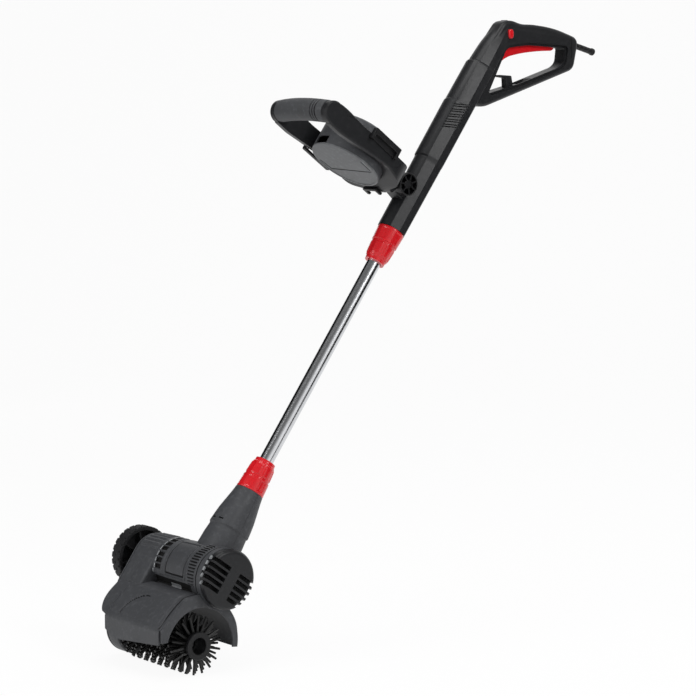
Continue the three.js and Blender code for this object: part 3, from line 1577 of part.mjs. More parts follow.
const product = new THREE.Group();
product.add(
  piece('housing_left', housing_half(-1), charcoal),
  piece('housing_right', housing_half(1), charcoal),
  piece('trigger', trigger(), red),
  piece('trigger_pin', trigger_pin(), steel),
  piece('trigger_spring', trigger_spring(), spring_steel),
  piece('switch_block', switch_block(), black),
  piece('switch_plunger', switch_plunger(), grey),
  piece('lock_button', lock_button(), red),
  piece('cable_clamp', cable_clamp(), black),
  piece('cord_sleeve', cord_sleeve(), black),
  piece('cord_hook', cord_hook(), dark),
);

const shaft = new THREE.Group();
shaft.position.set(0, -grip_back, -grip_up);
shaft.rotation.x = -rad(lean_deg);
shaft.add(
  piece('telescopic_tube', telescopic_tube(), chrome),
  piece('tube_end_bush', tube_end_bush(), black),
  piece('tube_collet', tube_collet(), grey),
  piece('upper_collar', upper_collar(), red),
  piece('lower_collar', lower_collar(), red),
);
product.add(shaft);

const handle = new THREE.Group();
handle.position.set(0, -pivot_forward, pivot_up);
handle.add(
  piece('front_handle_frame', handle_frame(), charcoal),
  piece('front_grip', front_grip(), charcoal),
  piece('pivot_bolt', pivot_bolt(), steel),
  piece('pivot_nut', pivot_nut(), steel),
  piece('pivot_knob', pivot_knob(), black),
  piece('storage_cup', storage_cup(), dark),
  piece('storage_lid', storage_lid(), grey),
  piece('bracket_right', bracket_right(), black),
  piece('bracket_left', bracket_left(), black),
  piece('bracket_root', bracket_root(), black),
);
shaft.add(handle);

const head = new THREE.Group();
head.add(
  piece('head_front_shell', head_shell(-1), charcoal),
  piece('head_back_shell', head_shell(1), charcoal),
  piece('vent_cap', vent_cap(), dark),
  piece('gear_cover', gear_cover(), charcoal),
  piece('gear_plate', gear_plate(), steel),
  piece('stator_core', stator_core(), steel),
  piece('field_coil_front', field_coil(0), copper),
  piece('field_coil_back', field_coil(180), copper),
  piece('rotor_shaft', rotor_shaft(), steel),
  piece('rotor_core', rotor_core(), steel),
  piece('commutator', commutator(), copper),
  piece('cooling_fan', cooling_fan(), black),
  piece('carbon_bridge', carbon_bridge(), black),
  piece('carbon_block_upper', carbon_block(1), black),
  piece('carbon_block_lower', carbon_block(-1), black),
  piece('rotor_bearing_left', bearing(plate_bearing, motor_axis, rotor_shaft_radius), steel),
  piece('rotor_bearing_right', bearing(end_bearing, motor_axis, rotor_shaft_radius), steel),
  piece('idler_axle', idler_axle(), steel),
  piece('idler_gear', idler_gear(), steel),
  piece('output_gear', output_gear(), brass),
  piece('brush_spindle', brush_spindle(), steel),
  piece('spindle_bearing_left', bearing([cover_right + 2 * gap, cover_right + bearing_width],
    brush_axis, spindle_end_radius), steel),
  piece('spindle_bearing_right', bearing(plate_bearing, brush_axis, spindle_end_radius), steel),
  piece('roller_core', roller_core(), black),
  piece('roller_bolt', roller_bolt(), steel),
  piece('brush_guard', brush_guard(), charcoal),
  piece('guide_wheel', guide_wheel(), black),
  piece('wheel_axle', wheel_axle(), steel),
);
for (let band = 0; band < bristle_bands; band += 1) {
  head.add(piece(`bristle_band_${band + 1}`, bristle_band(band), black));
}
shaft.add(head);

export default product;
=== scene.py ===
"""Electric weed brush: the detailed pieces, their finishes and the studio, on the packed frame."""
import math

import bmesh
import bpy
from mathutils import Matrix, Vector
from mathutils.geometry import tessellate_polygon


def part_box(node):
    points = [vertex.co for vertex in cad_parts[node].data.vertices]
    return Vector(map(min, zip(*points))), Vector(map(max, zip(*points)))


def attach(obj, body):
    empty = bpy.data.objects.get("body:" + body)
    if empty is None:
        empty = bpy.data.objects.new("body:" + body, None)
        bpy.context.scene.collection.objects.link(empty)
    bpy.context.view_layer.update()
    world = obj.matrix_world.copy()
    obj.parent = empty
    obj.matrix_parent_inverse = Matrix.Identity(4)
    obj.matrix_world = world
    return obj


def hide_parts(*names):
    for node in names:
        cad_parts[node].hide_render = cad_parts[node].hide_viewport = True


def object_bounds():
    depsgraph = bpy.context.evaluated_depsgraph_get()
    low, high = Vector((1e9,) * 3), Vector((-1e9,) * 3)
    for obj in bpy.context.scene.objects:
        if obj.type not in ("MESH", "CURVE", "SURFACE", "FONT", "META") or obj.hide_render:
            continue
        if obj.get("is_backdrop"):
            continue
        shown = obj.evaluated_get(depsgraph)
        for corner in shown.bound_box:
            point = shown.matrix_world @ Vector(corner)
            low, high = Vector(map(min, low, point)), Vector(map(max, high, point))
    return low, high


bl_info = {
    "name": "Electric weed brush",
    "version": (1, 0, 0),
    "blender": (4, 5, 0),
    "location": "View3D > Sidebar > Weed brush",
    "description": "Makes the pieces of a long handled electric weed brush and their finishes",
    "category": "Object",
}

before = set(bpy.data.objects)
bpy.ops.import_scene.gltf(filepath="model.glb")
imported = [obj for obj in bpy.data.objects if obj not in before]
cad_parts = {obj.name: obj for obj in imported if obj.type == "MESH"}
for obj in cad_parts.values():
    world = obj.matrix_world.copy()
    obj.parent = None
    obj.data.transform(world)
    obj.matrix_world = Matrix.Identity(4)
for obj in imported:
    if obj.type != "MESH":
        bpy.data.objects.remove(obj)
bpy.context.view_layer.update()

# Frames, in millimetres: the shaft leans back and the front handle's frame sits on its pivot
MILLI = Matrix.Scale(0.001, 4)
ROW = MILLI.copy()
LEAN = math.radians(36)
BARREL_END, PIVOT = (0, -351.2, -346.9), (0, -46, 70)
SHAFT = MILLI @ Matrix.Translation(BARREL_END) @ Matrix.Rotation(-LEAN, 4, "X")
HANDLE = SHAFT @ Matrix.Translation(PIVOT)

# Places and sizes that several pieces share
MOTOR_UP = -691.0
BRUSH_Y, BRUSH_Z = 18.987, -808.227
MOTOR_AXIS, BRUSH_AXIS = (0, MOTOR_UP), (BRUSH_Y, BRUSH_Z)
HANDLE_REACH = 230.0
CUP_OUT = 108.0
FAR_SIDE, SEAM_GAP = 30, 0.15
FINISHES = {}


def sizes():
    return bpy.context.scene.brush_sizes


def colours():
    return bpy.context.scene.brush_colours


# Outlines


def rounded(corners, steps=6):
    """Outline through corners, each (a, b, radius), with rounded corners."""
    points = []
    count = len(corners)
    for i, corner in enumerate(corners):
        here = Vector(corner[:2])
        before = Vector(corners[i - 1][:2])
        after = Vector(corners[(i + 1) % count][:2])
        radius = corner[2] if len(corner) > 2 else 0
        reach = min(radius, (here - before).length * 0.49, (here - after).length * 0.49)
        if reach <= 0:
            points.append(here)
            continue
        start = here + (before - here).normalized() * reach
        end = here + (after - here).normalized() * reach
        for k in range(steps + 1):
            t = k / steps
            points.append(start * (1 - t) ** 2 + here * 2 * t * (1 - t) + end * t * t)
    return points


def belt(circles, steps=96):
    """Convex outline round circles, each (a, b, radius)."""
    points = sorted(
        (a + r * math.cos(2 * math.pi * i / steps), b + r * math.sin(2 * math.pi * i / steps))
        for a, b, r in circles for i in range(steps)
    )

    def half(row):
        chain = []
        for p in row:
            while len(chain) > 1 and turn(chain[-2], chain[-1], p) <= 1e-6:
                chain.pop()
            chain.append(p)
        return chain[:-1]

    return [Vector(p) for p in half(points) + half(points[::-1])]


def turn(a, b, c):
    return (b[0] - a[0]) * (c[1] - a[1]) - (b[1] - a[1]) * (c[0] - a[0])


def arc(a, b, radius, from_deg, to_deg, steps):
    """Points of an arc, counted from the first axis towards the second."""
    out = []
    for k in range(steps + 1):
        angle = math.radians(from_deg + (to_deg - from_deg) * k / steps)
        out.append(Vector((a + radius * math.cos(angle), b + radius * math.sin(angle))))
    return out


def in_side(a, b, level):
    return Vector((level, a, b))


def in_plan(a, b, level):
    return Vector((a, b, level))


def in_front(a, b, level):
    return Vector((a, level, b))


def smooth(edge0, edge1, x):
    t = min(1.0, max(0.0, (x - edge0) / (edge1 - edge0)))
    return t * t * (3 - 2 * t)


def between(low, high, x, soft=0.6):
    return smooth(low - soft, low + soft, x) * (1 - smooth(high - soft, high + soft, x))


def lerp_table(table, x):
    """Value at x of a table of (place, value) rows."""
    if x <= table[0][0]:
        return table[0][1]
    for (x0, v0), (x1, v1) in zip(table, table[1:]):
        if x <= x1:
            return v0 + (v1 - v0) * (x - x0) / (x1 - x0)
    return table[-1][1]


# Meshes, made in millimetres


def new_object(name, bm):
    bmesh.ops.recalc_face_normals(bm, faces=bm.faces)
    mesh = bpy.data.meshes.new(name)
    bm.to_mesh(mesh)
    bm.free()
    thing = bpy.data.objects.new(name, mesh)
    bpy.context.scene.collection.objects.link(thing)
    return thing


def loft(name, rings):
    """Skin through closed rings of points, capped at both ends."""
    bm = bmesh.new()
    made = [[bm.verts.new(p) for p in ring] for ring in rings]
    count = len(made[0])
    for lower, upper in zip(made, made[1:]):
        for i in range(count):
            j = (i + 1) % count
            bm.faces.new((lower[i], lower[j], upper[j], upper[i]))
    for ring in (made[0], made[-1]):
        for tri in tessellate_polygon([[v.co for v in ring]]):
            if len(set(tri)) == 3:
                bm.faces.new([ring[k] for k in tri])
    return new_object(name, bm)


def inset_outline(outline, amount):
    count = len(outline)
    area = sum(turn((0, 0), outline[i], outline[(i + 1) % count]) for i in range(count))
    side = 1 if area > 0 else -1
    moved = []
    for i, here in enumerate(outline):
        before = (here - outline[i - 1]).normalized()
        after = (outline[(i + 1) % count] - here).normalized()
        inward = Vector((-before.y - after.y, before.x + after.x)) * side
        moved.append(here + inward / max(1 + before.dot(after), 0.35) * amount)
    return moved


def plate(name, outline, low, high, round_edge=0.0, place=in_side, steps=5):
    """Plate on an outline, with both rims rounded."""
    levels = [(low, 0.0), (high, 0.0)]
    if round_edge > 0:
        turns = [math.pi / 2 * k / steps for k in range(steps + 1)]
        start = [(low + round_edge * (1 - math.cos(t)), round_edge * (1 - math.sin(t))) for t in turns]
        end = [(high - round_edge * (1 - math.cos(t)), round_edge * (1 - math.sin(t))) for t in turns]
        levels = start + end[::-1]
    rings = [[place(p.x, p.y, level) for p in inset_outline(outline, inset)] for level, inset in levels]
    return loft(name, rings)


def turned(name, profile, axis="Z", centre=(0, 0), steps=64):
    """Revolved profile of (radius, place) points, closed on the axis or into a ring."""
    on_axis = profile[0][0] == 0
    rows = profile if on_axis else profile[:-1] if profile[0] == profile[-1] else profile
    bm = bmesh.new()

    def spot(radius, along, angle):
        a = centre[0] + radius * math.cos(angle)
        b = centre[1] + radius * math.sin(angle)
        return (along, a, b) if axis == "X" else (a, b, along)

    made = []
    for radius, along in rows:
        if radius == 0:
            made.append([bm.verts.new(spot(0, along, 0))])
        else:
            made.append([bm.verts.new(spot(radius, along, 2 * math.pi * i / steps)) for i in range(steps)])
    pairs = list(zip(made, made[1:]))
    if not on_axis:
        pairs.append((made[-1], made[0]))
    for lower, upper in pairs:
        for i in range(steps):
            j = (i + 1) % steps
            corner = list(dict.fromkeys([lower[i % len(lower)], lower[j % len(lower)],
                                         upper[j % len(upper)], upper[i % len(upper)]]))
            if len(corner) > 2:
                bm.faces.new(corner)
    return new_object(name, bm)


def softened(profile, radius=0.8, steps=3):
    """Profile with its corners off the axis rounded."""
    out = []
    for i, here in enumerate(profile):
        if i in (0, len(profile) - 1) or here[0] == 0:
            out.append(here)
            continue
        point, before, after = Vector(here), Vector(profile[i - 1]), Vector(profile[i + 1])
        reach = min(radius, (point - before).length * 0.45, (point - after).length * 0.45)
        start = point + (before - point).normalized() * reach
        end = point + (after - point).normalized() * reach
        for k in range(steps + 1):
            t = k / steps
            spot = start * (1 - t) ** 2 + point * 2 * t * (1 - t) + end * t * t
            out.append((spot.x, spot.y))
    return out


def rod(name, radius, low, high, axis="Z", centre=(0, 0), steps=64, soften=0.0):
    """Solid cylinder, its rims softened where wanted."""
    profile = [(0, low), (radius, low), (radius, high), (0, high)]
    return turned(name, softened(profile, soften) if soften else profile, axis, centre, steps)


def grid_skin(name, rows, columns, spot, finish_at=None):
    """Closed sleeve of rows x columns points; spot(u, v) gives a point, columns run round it."""
    bm = bmesh.new()
    made = [[bm.verts.new(spot(i / (rows - 1), j / columns)) for j in range(columns)] for i in range(rows)]
    for i in range(rows - 1):
        for j in range(columns):
            k = (j + 1) % columns
            face = bm.faces.new((made[i][j], made[i][k], made[i + 1][k], made[i + 1][j]))
            if finish_at:
                face.material_index = finish_at((i + 0.5) / (rows - 1), (j + 0.5) / columns)
    for ring in (made[0], made[-1]):
        hub = bm.verts.new(sum((v.co for v in ring), Vector()) / columns)
        for j in range(columns):
            bm.faces.new((ring[j], ring[(j + 1) % columns], hub))
    return new_object(name, bm)


def block(name, x0, x1, y0, y1, z0, z1, round_edge=0.0):
    outline = rounded([(x, y, round_edge) for x, y in ((x0, y0), (x1, y0), (x1, y1), (x0, y1))], 3)
    return plate(name, outline, z0, z1, round_edge * 0.7, in_plan, 3)


def moved(thing, matrix):
    thing.data.transform(matrix)
    return thing


def baked(thing):
    """The object's mesh with its modifiers worked in."""
    graph = bpy.context.evaluated_depsgraph_get()
    mesh = bpy.data.meshes.new_from_object(thing.evaluated_get(graph))
    thing.modifiers.clear()
    thing.data = mesh
    return thing


def combined(operation, base, tools):
    for tool in tools:
        step = base.modifiers.new("Step", "BOOLEAN")
        step.operation = operation
        step.solver = "EXACT"
        step.object = tool
    baked(base)
    for tool in tools:
        bpy.data.objects.remove(tool)
    return base


def joined(things):
    """One object from several, each closed by itself."""
    bm = bmesh.new()
    for thing in things:
        bm.from_mesh(thing.data)
    mesh = bpy.data.meshes.new(things[0].name)
    bm.to_mesh(mesh)
    bm.free()
    things[0].data = mesh
    for thing in things[1:]:
        bpy.data.objects.remove(thing)
    return things[0]


def marked(thing, finish):
    """The same piece, all of it in the finish of that number."""
    for face in thing.data.polygons:
        face.material_index = finish
    return thing


def half_of(thing, name, side, axis=0):
    """Closed half of a piece on one side of its middle plane, a little off it."""
    bm = bmesh.new()
    bm.from_mesh(thing.data)
    normal = [0, 0, 0]
    normal[axis] = -side
    place = [0, 0, 0]
    place[axis] = side * SEAM_GAP
    cut = bmesh.ops.bisect_plane(bm, geom=bm.verts[:] + bm.edges[:] + bm.faces[:], plane_co=place,
                                 plane_no=normal, clear_outer=True, dist=1e-4)
    rim = [e for e in cut["geom_cut"] if isinstance(e, bmesh.types.BMEdge)]
    bmesh.ops.triangle_fill(bm, edges=rim, use_beauty=True, normal=normal)
    return new_object(name, bm)


def finished(thing, name, place, finish, body, nodes=(), sharp_deg=32, more=()):
    """Puts a piece into the row frame and gives it its shading, finish, body and nodes."""
    thing.name = name
    thing.data.name = name
    thing.data.transform(place)
    thing.data.shade_smooth()
    thing.data.set_sharp_from_angle(angle=math.radians(sharp_deg))
    marks = [min(face.material_index, len(more)) for face in thing.data.polygons]
    thing.data.materials.clear()
    for word in (finish, *more):
        thing.data.materials.append(FINISHES[word])
    thing.data.polygons.foreach_set("material_index", marks)
    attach(thing, body)
    if nodes:
        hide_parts(*nodes)
    return thing


# Nodes


def node(tree, kind, links=(), **settings):
    """New node with its settings; each link is a socket and a value or an output to join to it."""
    made = tree.nodes.new(kind)
    for key, value in settings.items():
        setattr(made, key, value)
    for socket, value in links:
        if isinstance(value, (int, float, tuple)):
            made.inputs[socket].default_value = value
        else:
            tree.links.new(value, made.inputs[socket])
    return made


def maths(tree, operation, first, second=None, **settings):
    links = [(0, first)] if second is None else [(0, first), (1, second)]
    return node(tree, "ShaderNodeMath", links, operation=operation, **settings).outputs[0]


def sockets(group, inputs, outputs):
    """Gives a node group its named inputs, each with a default where it has one, and its outputs."""
    for label, kind in outputs:
        group.interface.new_socket(label, in_out="OUTPUT", socket_type=kind)
    for label, kind, value in inputs:
        socket = group.interface.new_socket(label, in_out="INPUT", socket_type=kind)
        if value is not None:
            socket.default_value = value
    return group


# Repeated blocks and bristles, as Geometry Nodes


class Tree:
    """Small helper that adds and links the nodes of one Geometry Nodes tree."""

    def __init__(self, name, inputs):
        self.tree = sockets(bpy.data.node_groups.new(name, "GeometryNodeTree"), inputs,
                            [("Geometry", "NodeSocketGeometry")])
        self.source = self.tree.nodes.new("NodeGroupInput")
        self.end = self.tree.nodes.new("NodeGroupOutput")

    def add(self, kind, links=(), **settings):
        return node(self.tree, kind, links, **settings)

    def maths(self, *given):
        return maths(self.tree, *given)

    def placed(self, shape, points, turned_by, material):
        """Ends the tree: the shape on every point, real and with its material."""
        copies = self.add("GeometryNodeInstanceOnPoints",
                          [("Points", points), ("Instance", shape), ("Rotation", turned_by)])
        real = self.add("GeometryNodeRealizeInstances", [(0, copies.outputs[0])])
        last = self.add("GeometryNodeSetMaterial", [("Geometry", real.outputs[0]), ("Material", material)])
        self.tree.links.new(last.outputs[0], self.end.inputs[0])
        return self.tree


def block_tree():
    """Blocks in a row, round an axis along X, or both."""
    t = Tree("Repeated blocks", [
        ("Count", "NodeSocketInt", 8), ("Start", "NodeSocketVector", (0, 0, 0)),
        ("Step", "NodeSocketVector", (0, 0, 0)), ("Radius", "NodeSocketFloat", 0.0),
        ("First Angle", "NodeSocketFloat", 0.0), ("Angle Step", "NodeSocketFloat", 0.0),
        ("Block Size", "NodeSocketVector", (1, 1, 1)), ("Material", "NodeSocketMaterial", None),
    ])
    given = t.source.outputs
    index = t.add("GeometryNodeInputIndex").outputs[0]
    angle = t.maths("ADD", given["First Angle"], t.maths("MULTIPLY", index, given["Angle Step"]))
    out = t.add("ShaderNodeCombineXYZ", [
        ("Y", t.maths("MULTIPLY", given["Radius"], t.maths("COSINE", angle))),
        ("Z", t.maths("MULTIPLY", given["Radius"], t.maths("SINE", angle))),
    ])
    along = t.add("ShaderNodeVectorMath", [(0, given["Step"]), ("Scale", index)], operation="SCALE")
    base = t.add("ShaderNodeVectorMath", [(0, given["Start"]), (1, along.outputs[0])], operation="ADD")
    spot = t.add("ShaderNodeVectorMath", [(0, base.outputs[0]), (1, out.outputs[0])], operation="ADD")
    points = t.add("GeometryNodePoints", [("Count", given["Count"]), ("Position", spot.outputs[0])])
    lean = t.add("ShaderNodeCombineXYZ", [("X", angle)])
    shape = t.add("GeometryNodeMeshCube", [("Size", given["Block Size"])])
    return t.placed(shape.outputs[0], points.outputs[0], lean.outputs[0], given["Material"])


def bristle_tree():
    """Tufts in rows round an axis along X, each row turned half a step, with a small random lean."""
    t = Tree("Bristle field", [
        ("Rows", "NodeSocketInt", 24), ("Tufts In Row", "NodeSocketInt", 24),
        ("Pitch", "NodeSocketFloat", 6.5), ("Root Radius", "NodeSocketFloat", 22.0),
        ("Reach", "NodeSocketFloat", 50.0), ("Thickness", "NodeSocketFloat", 3.0),
        ("Lean", "NodeSocketFloat", 0.07), ("Seed", "NodeSocketInt", 7),
        ("Material", "NodeSocketMaterial", None),
    ])
    given = t.source.outputs
    index = t.add("GeometryNodeInputIndex").outputs[0]
    row = t.maths("FLOOR", t.maths("DIVIDE", index, given["Tufts In Row"]))
    shift = t.maths("MULTIPLY", t.maths("MODULO", row, 2.0), 0.5)
    share = t.maths("DIVIDE", t.maths("ADD", index, shift), given["Tufts In Row"])
    angle = t.maths("MULTIPLY", share, 2 * math.pi)
    spot = t.add("ShaderNodeCombineXYZ", [
        ("X", t.maths("MULTIPLY", row, given["Pitch"])),
        ("Y", t.maths("MULTIPLY", given["Root Radius"], t.maths("COSINE", angle))),
        ("Z", t.maths("MULTIPLY", given["Root Radius"], t.maths("SINE", angle))),
    ])
    count = t.maths("MULTIPLY", given["Rows"], given["Tufts In Row"])
    points = t.add("GeometryNodePoints", [("Count", count), ("Position", spot.outputs[0])])
    low = t.maths("MULTIPLY", given["Lean"], -1.0)
    random = [t.add("FunctionNodeRandomValue", [("Min", low), ("Max", given["Lean"]), ("Seed", seed)],
                    data_type="FLOAT").outputs["Value"]
              for seed in (given["Seed"], t.maths("ADD", given["Seed"], 5.0))]
    lean = t.add("ShaderNodeCombineXYZ", [("X", t.maths("ADD", angle, random[0])), ("Z", random[1])])
    length = t.maths("SUBTRACT", given["Reach"], given["Root Radius"])
    shape = t.add("GeometryNodeMeshCone", [
        ("Vertices", 7), ("Side Segments", 2),
        ("Radius Top", t.maths("MULTIPLY", given["Thickness"], 0.42)),
        ("Radius Bottom", t.maths("MULTIPLY", given["Thickness"], 0.55)), ("Depth", length),
    ])
    upright = t.add("GeometryNodeTransform", [("Geometry", shape.outputs["Mesh"]),
                                             ("Rotation", (-math.pi / 2, 0.0, 0.0))])
    return t.placed(upright.outputs[0], points.outputs[0], lean.outputs[0], given["Material"])


def grown(tree, name, finish, **inputs):
    """Plain mesh that a Geometry Nodes tree makes from its named inputs."""
    thing = bpy.data.objects.new(name, bpy.data.meshes.new(name))
    bpy.context.scene.collection.objects.link(thing)
    step = thing.modifiers.new("Make", "NODES")
    step.node_group = tree
    wanted = {key.replace("_", " ").title(): value for key, value in inputs.items()}
    wanted["Material"] = FINISHES[finish]
    for socket in tree.interface.items_tree:
        if socket.item_type == "SOCKET" and socket.in_out == "INPUT" and socket.name in wanted:
            step[socket.identifier] = wanted[socket.name]
    return baked(thing)


def blocks(name, finish, **inputs):
    tree = bpy.data.node_groups.get("Repeated blocks") or block_tree()
    return grown(tree, name, finish, **inputs)


# Finishes: shared shader groups, then one material for each surface


COLOUR_OUT, COLOUR_A, COLOUR_B = 2, 6, 7


def shader_group(name, inputs):
    """Group with its inputs node; every finish gives a colour, a roughness and a height."""
    outputs = [("Colour", "NodeSocketColor"), ("Roughness", "NodeSocketFloat"), ("Height", "NodeSocketFloat")]
    group = sockets(bpy.data.node_groups.new(name, "ShaderNodeTree"), inputs, outputs)
    return group, node(group, "NodeGroupInput").outputs


def ends(group, colour, roughness, height):
    node(group, "NodeGroupOutput", [("Colour", colour), ("Roughness", roughness), ("Height", height)])
    return group


def noise(tree, where, scale, detail):
    links = [("Vector", where), ("Scale", scale), ("Detail", detail)]
    return node(tree, "ShaderNodeTexNoise", links).outputs["Fac"]


def ranged(tree, value, taken=(0.0, 1.0), given=(0.0, 1.0)):
    """Value mapped from one range, given as its two ends, to another."""
    return node(tree, "ShaderNodeMapRange", [
        ("Value", value), ("From Min", taken[0]), ("From Max", taken[1]),
        ("To Min", given[0]), ("To Max", given[1]),
    ]).outputs[0]


def mixed_colour(tree, factor, first, second):
    return node(tree, "ShaderNodeMix", [("Factor", factor), (COLOUR_A, first), (COLOUR_B, second)],
                data_type="RGBA", blend_type="MIX").outputs[COLOUR_OUT]


def moulded_group():
    """Grain and slow shade changes of moulded plastic, with dust in patches."""
    g, given = shader_group("Moulded surface", [
        ("Colour", "NodeSocketColor", (0.05, 0.05, 0.05, 1)),
        ("Dust Colour", "NodeSocketColor", (0.3, 0.3, 0.3, 1)),
        ("Dust", "NodeSocketFloat", 0.1), ("Roughness", "NodeSocketFloat", 0.5),
        ("Grain Scale", "NodeSocketFloat", 900.0), ("Shade Change", "NodeSocketFloat", 0.12),
    ])
    where = node(g, "ShaderNodeTexCoord").outputs["Object"]
    grain = noise(g, where, given["Grain Scale"], 2.0)
    patches = noise(g, where, 14.0, 5.0)
    fine = noise(g, where, 140.0, 3.0)
    shade = maths(g, "MULTIPLY", ranged(g, patches, (0.3, 0.7), (1.0, 0.0)), given["Shade Change"])
    darker = mixed_colour(g, shade, given["Colour"], (0.0, 0.0, 0.0, 1.0))
    dusty = maths(g, "MULTIPLY", ranged(g, fine, (0.52, 0.75)), given["Dust"])
    colour = mixed_colour(g, dusty, darker, given["Dust Colour"])
    rough = maths(g, "ADD", given["Roughness"], ranged(g, fine, given=(-0.07, 0.07)), use_clamp=True)
    return ends(g, colour, rough, grain)


def drawn_group():
    """Fine scratches along the shaft on polished or machined metal."""
    g, given = shader_group("Drawn metal", [
        ("Colour", "NodeSocketColor", (0.6, 0.6, 0.6, 1)), ("Roughness", "NodeSocketFloat", 0.2),
        ("Scratches", "NodeSocketFloat", 0.1),
    ])
    where = node(g, "ShaderNodeTexCoord").outputs["Object"]
    place = node(g, "ShaderNodeMapping", [("Vector", where), ("Rotation", (LEAN, 0.0, 0.0)),
                                          ("Scale", (900.0, 900.0, 12.0))])
    lines = noise(g, place.outputs[0], 1.0, 4.0)
    scratches = maths(g, "MULTIPLY", ranged(g, lines, (0.35, 0.7)), given["Scratches"])
    rough = maths(g, "ADD", given["Roughness"], scratches)
    smears = ranged(g, noise(g, where, 22.0, 4.0), (0.4, 0.8), (0.0, 0.25))
    return ends(g, mixed_colour(g, smears, given["Colour"], (0.3, 0.3, 0.31, 1.0)), rough, lines)


def material(name, group, values, bump, bump_distance=0.0002, metallic=0.0, coat=0.0, specular=0.28):
    made = bpy.data.materials.new(name)
    made.use_nodes = True
    tree = made.node_tree
    shader = tree.nodes["Principled BSDF"]
    source = node(tree, "ShaderNodeGroup", node_tree=group)
    for key, value in values.items():
        source.inputs[key].default_value = value
    relief = node(tree, "ShaderNodeBump", [("Height", source.outputs["Height"]), ("Strength", bump),
                                           ("Distance", bump_distance)])
    tree.links.new(source.outputs["Colour"], shader.inputs["Base Color"])
    tree.links.new(source.outputs["Roughness"], shader.inputs["Roughness"])
    tree.links.new(relief.outputs[0], shader.inputs["Normal"])
    shader.inputs["Metallic"].default_value = metallic
    shader.inputs["Coat Weight"].default_value = coat
    shader.inputs["Coat Roughness"].default_value = 0.12
    shader.inputs["Specular IOR Level"].default_value = specular
    return made


def make_finishes():
    moulded = moulded_group()
    drawn = drawn_group()
    c = colours()

    def plastic(name, colour, roughness, bump, grain=900.0, dust=0.05, change=0.15, **more):
        pale = tuple(min(1.0, v * 2.2 + 0.02) for v in colour[:3]) + (1.0,)
        values = {"Colour": (*colour[:3], 1.0), "Dust Colour": pale, "Dust": dust, "Roughness": roughness,
                  "Grain Scale": grain, "Shade Change": change}
        return material(name, moulded, values, bump, **more)

    def metal(name, colour, roughness, scratches, bump):
        values = {"Colour": (*colour[:3], 1.0), "Roughness": roughness, "Scratches": scratches}
        return material(name, drawn, values, bump, 0.00005, metallic=1.0, specular=0.5)

    FINISHES.update({
        "body": plastic("Moulded charcoal plastic", c.body, 0.5, 0.35, dust=0.25),
        "dark": plastic("Moulded dark plastic", c.dark, 0.38, 0.35, dust=0.12),
        "black": plastic("Black plastic", c.black, 0.42, 0.3, dust=0.1),
        # Near-black finish for grooves, windows, slots and gaps: painted shade
        "painted_shade": plastic("Shadowed inside", (0.004, 0.004, 0.004), 0.8, 0.2),
        "grip": plastic("Soft grip rubber", c.grip, 0.62, 0.7, grain=650.0, dust=0.3, specular=0.35),
        "red": plastic("Glossy red plastic", c.red, 0.22, 0.06, grain=300.0, dust=0.02, change=0.06,
                       coat=0.35),
        "grey": plastic("Grey plastic", c.grey, 0.5, 0.4, dust=0.3),
        # Pale edge finish: painted highlight on window frames, slot rims and the lid's bar, and painted light
        # in the motor recess
        "edge": plastic("Painted highlight edge", c.edge, 0.4, 0.3, dust=0.3),
        "tread": plastic("Wheel tread", c.black, 0.66, 0.9, grain=420.0, dust=0.35),
        "bristle": plastic("Bristle nylon", c.bristle, 0.34, 0.2, grain=500.0, dust=0.2),
        "chrome": metal("Polished chrome", c.chrome, 0.13, 0.1, 0.05),
        "steel": metal("Machined steel", (0.5, 0.51, 0.53), 0.32, 0.2, 0.2),
        "copper": metal("Copper wire", (0.7, 0.32, 0.14), 0.35, 0.2, 0.3),
        "brass": metal("Machined brass", (0.72, 0.52, 0.2), 0.3, 0.2, 0.2),
    })


# Barrel housing with its rear loop

BARREL_LENGTH = 459.0
BARREL_HALF_WIDTH, BARREL_FRONT, BARREL_BACK = 27.5, 28.0, 26.0
SPINE_HALF_WIDTH, SPINE_FOOT, SPINE_POWER, SPINE_STEPS = 22.5, -3, 0.6, 20
FRONT_ARC, FRONT_STEPS = (48, 84), 24
FACET_SHARE, FACET_EDGE_SHARE, FACET_EDGE_IN = 0.44, -0.1, 0.985
BARREL_STATIONS = [
    (0.0, 0.94, 0.94, 0.94), (0.3, 0.975, 0.965, 0.98), (0.318, 0.98, 0.97, 0.98), (0.324, 1.0, 1.05, 1.0),
    (0.33, 1.0, 1.06, 1.0), (0.57, 1.0, 1.09, 1.0), (0.579, 1.0, 1.085, 1.0), (0.584, 0.98, 1.035, 1.01),
    (0.765, 0.95, 1.01, 1.03), (0.772, 0.93, 0.965, 1.045), (0.776, 0.91, 0.885, 1.05),
    (0.84, 0.88, 0.8, 1.06), (0.87, 0.85, 0.75, 1.06), (0.91, 0.79, 0.63, 1.02),
    (0.95, 0.7, 0.47, 0.95), (0.975, 0.58, 0.3, 0.75), (1.0, 0.36, 0.06, 0.42),
]
VENTS = {"count": 5, "step": (0.0, 0.0, 11.0), "first_angle": math.radians(28),
         "block_size": (6.0, 30.0, 2.2)}
VENT_START, VENT_PAIR_STEP = 216.0, 4.6
VENT_OUT, VENT_FRONT, FACET_TURN = 22.9, -12, math.radians(-25.6)

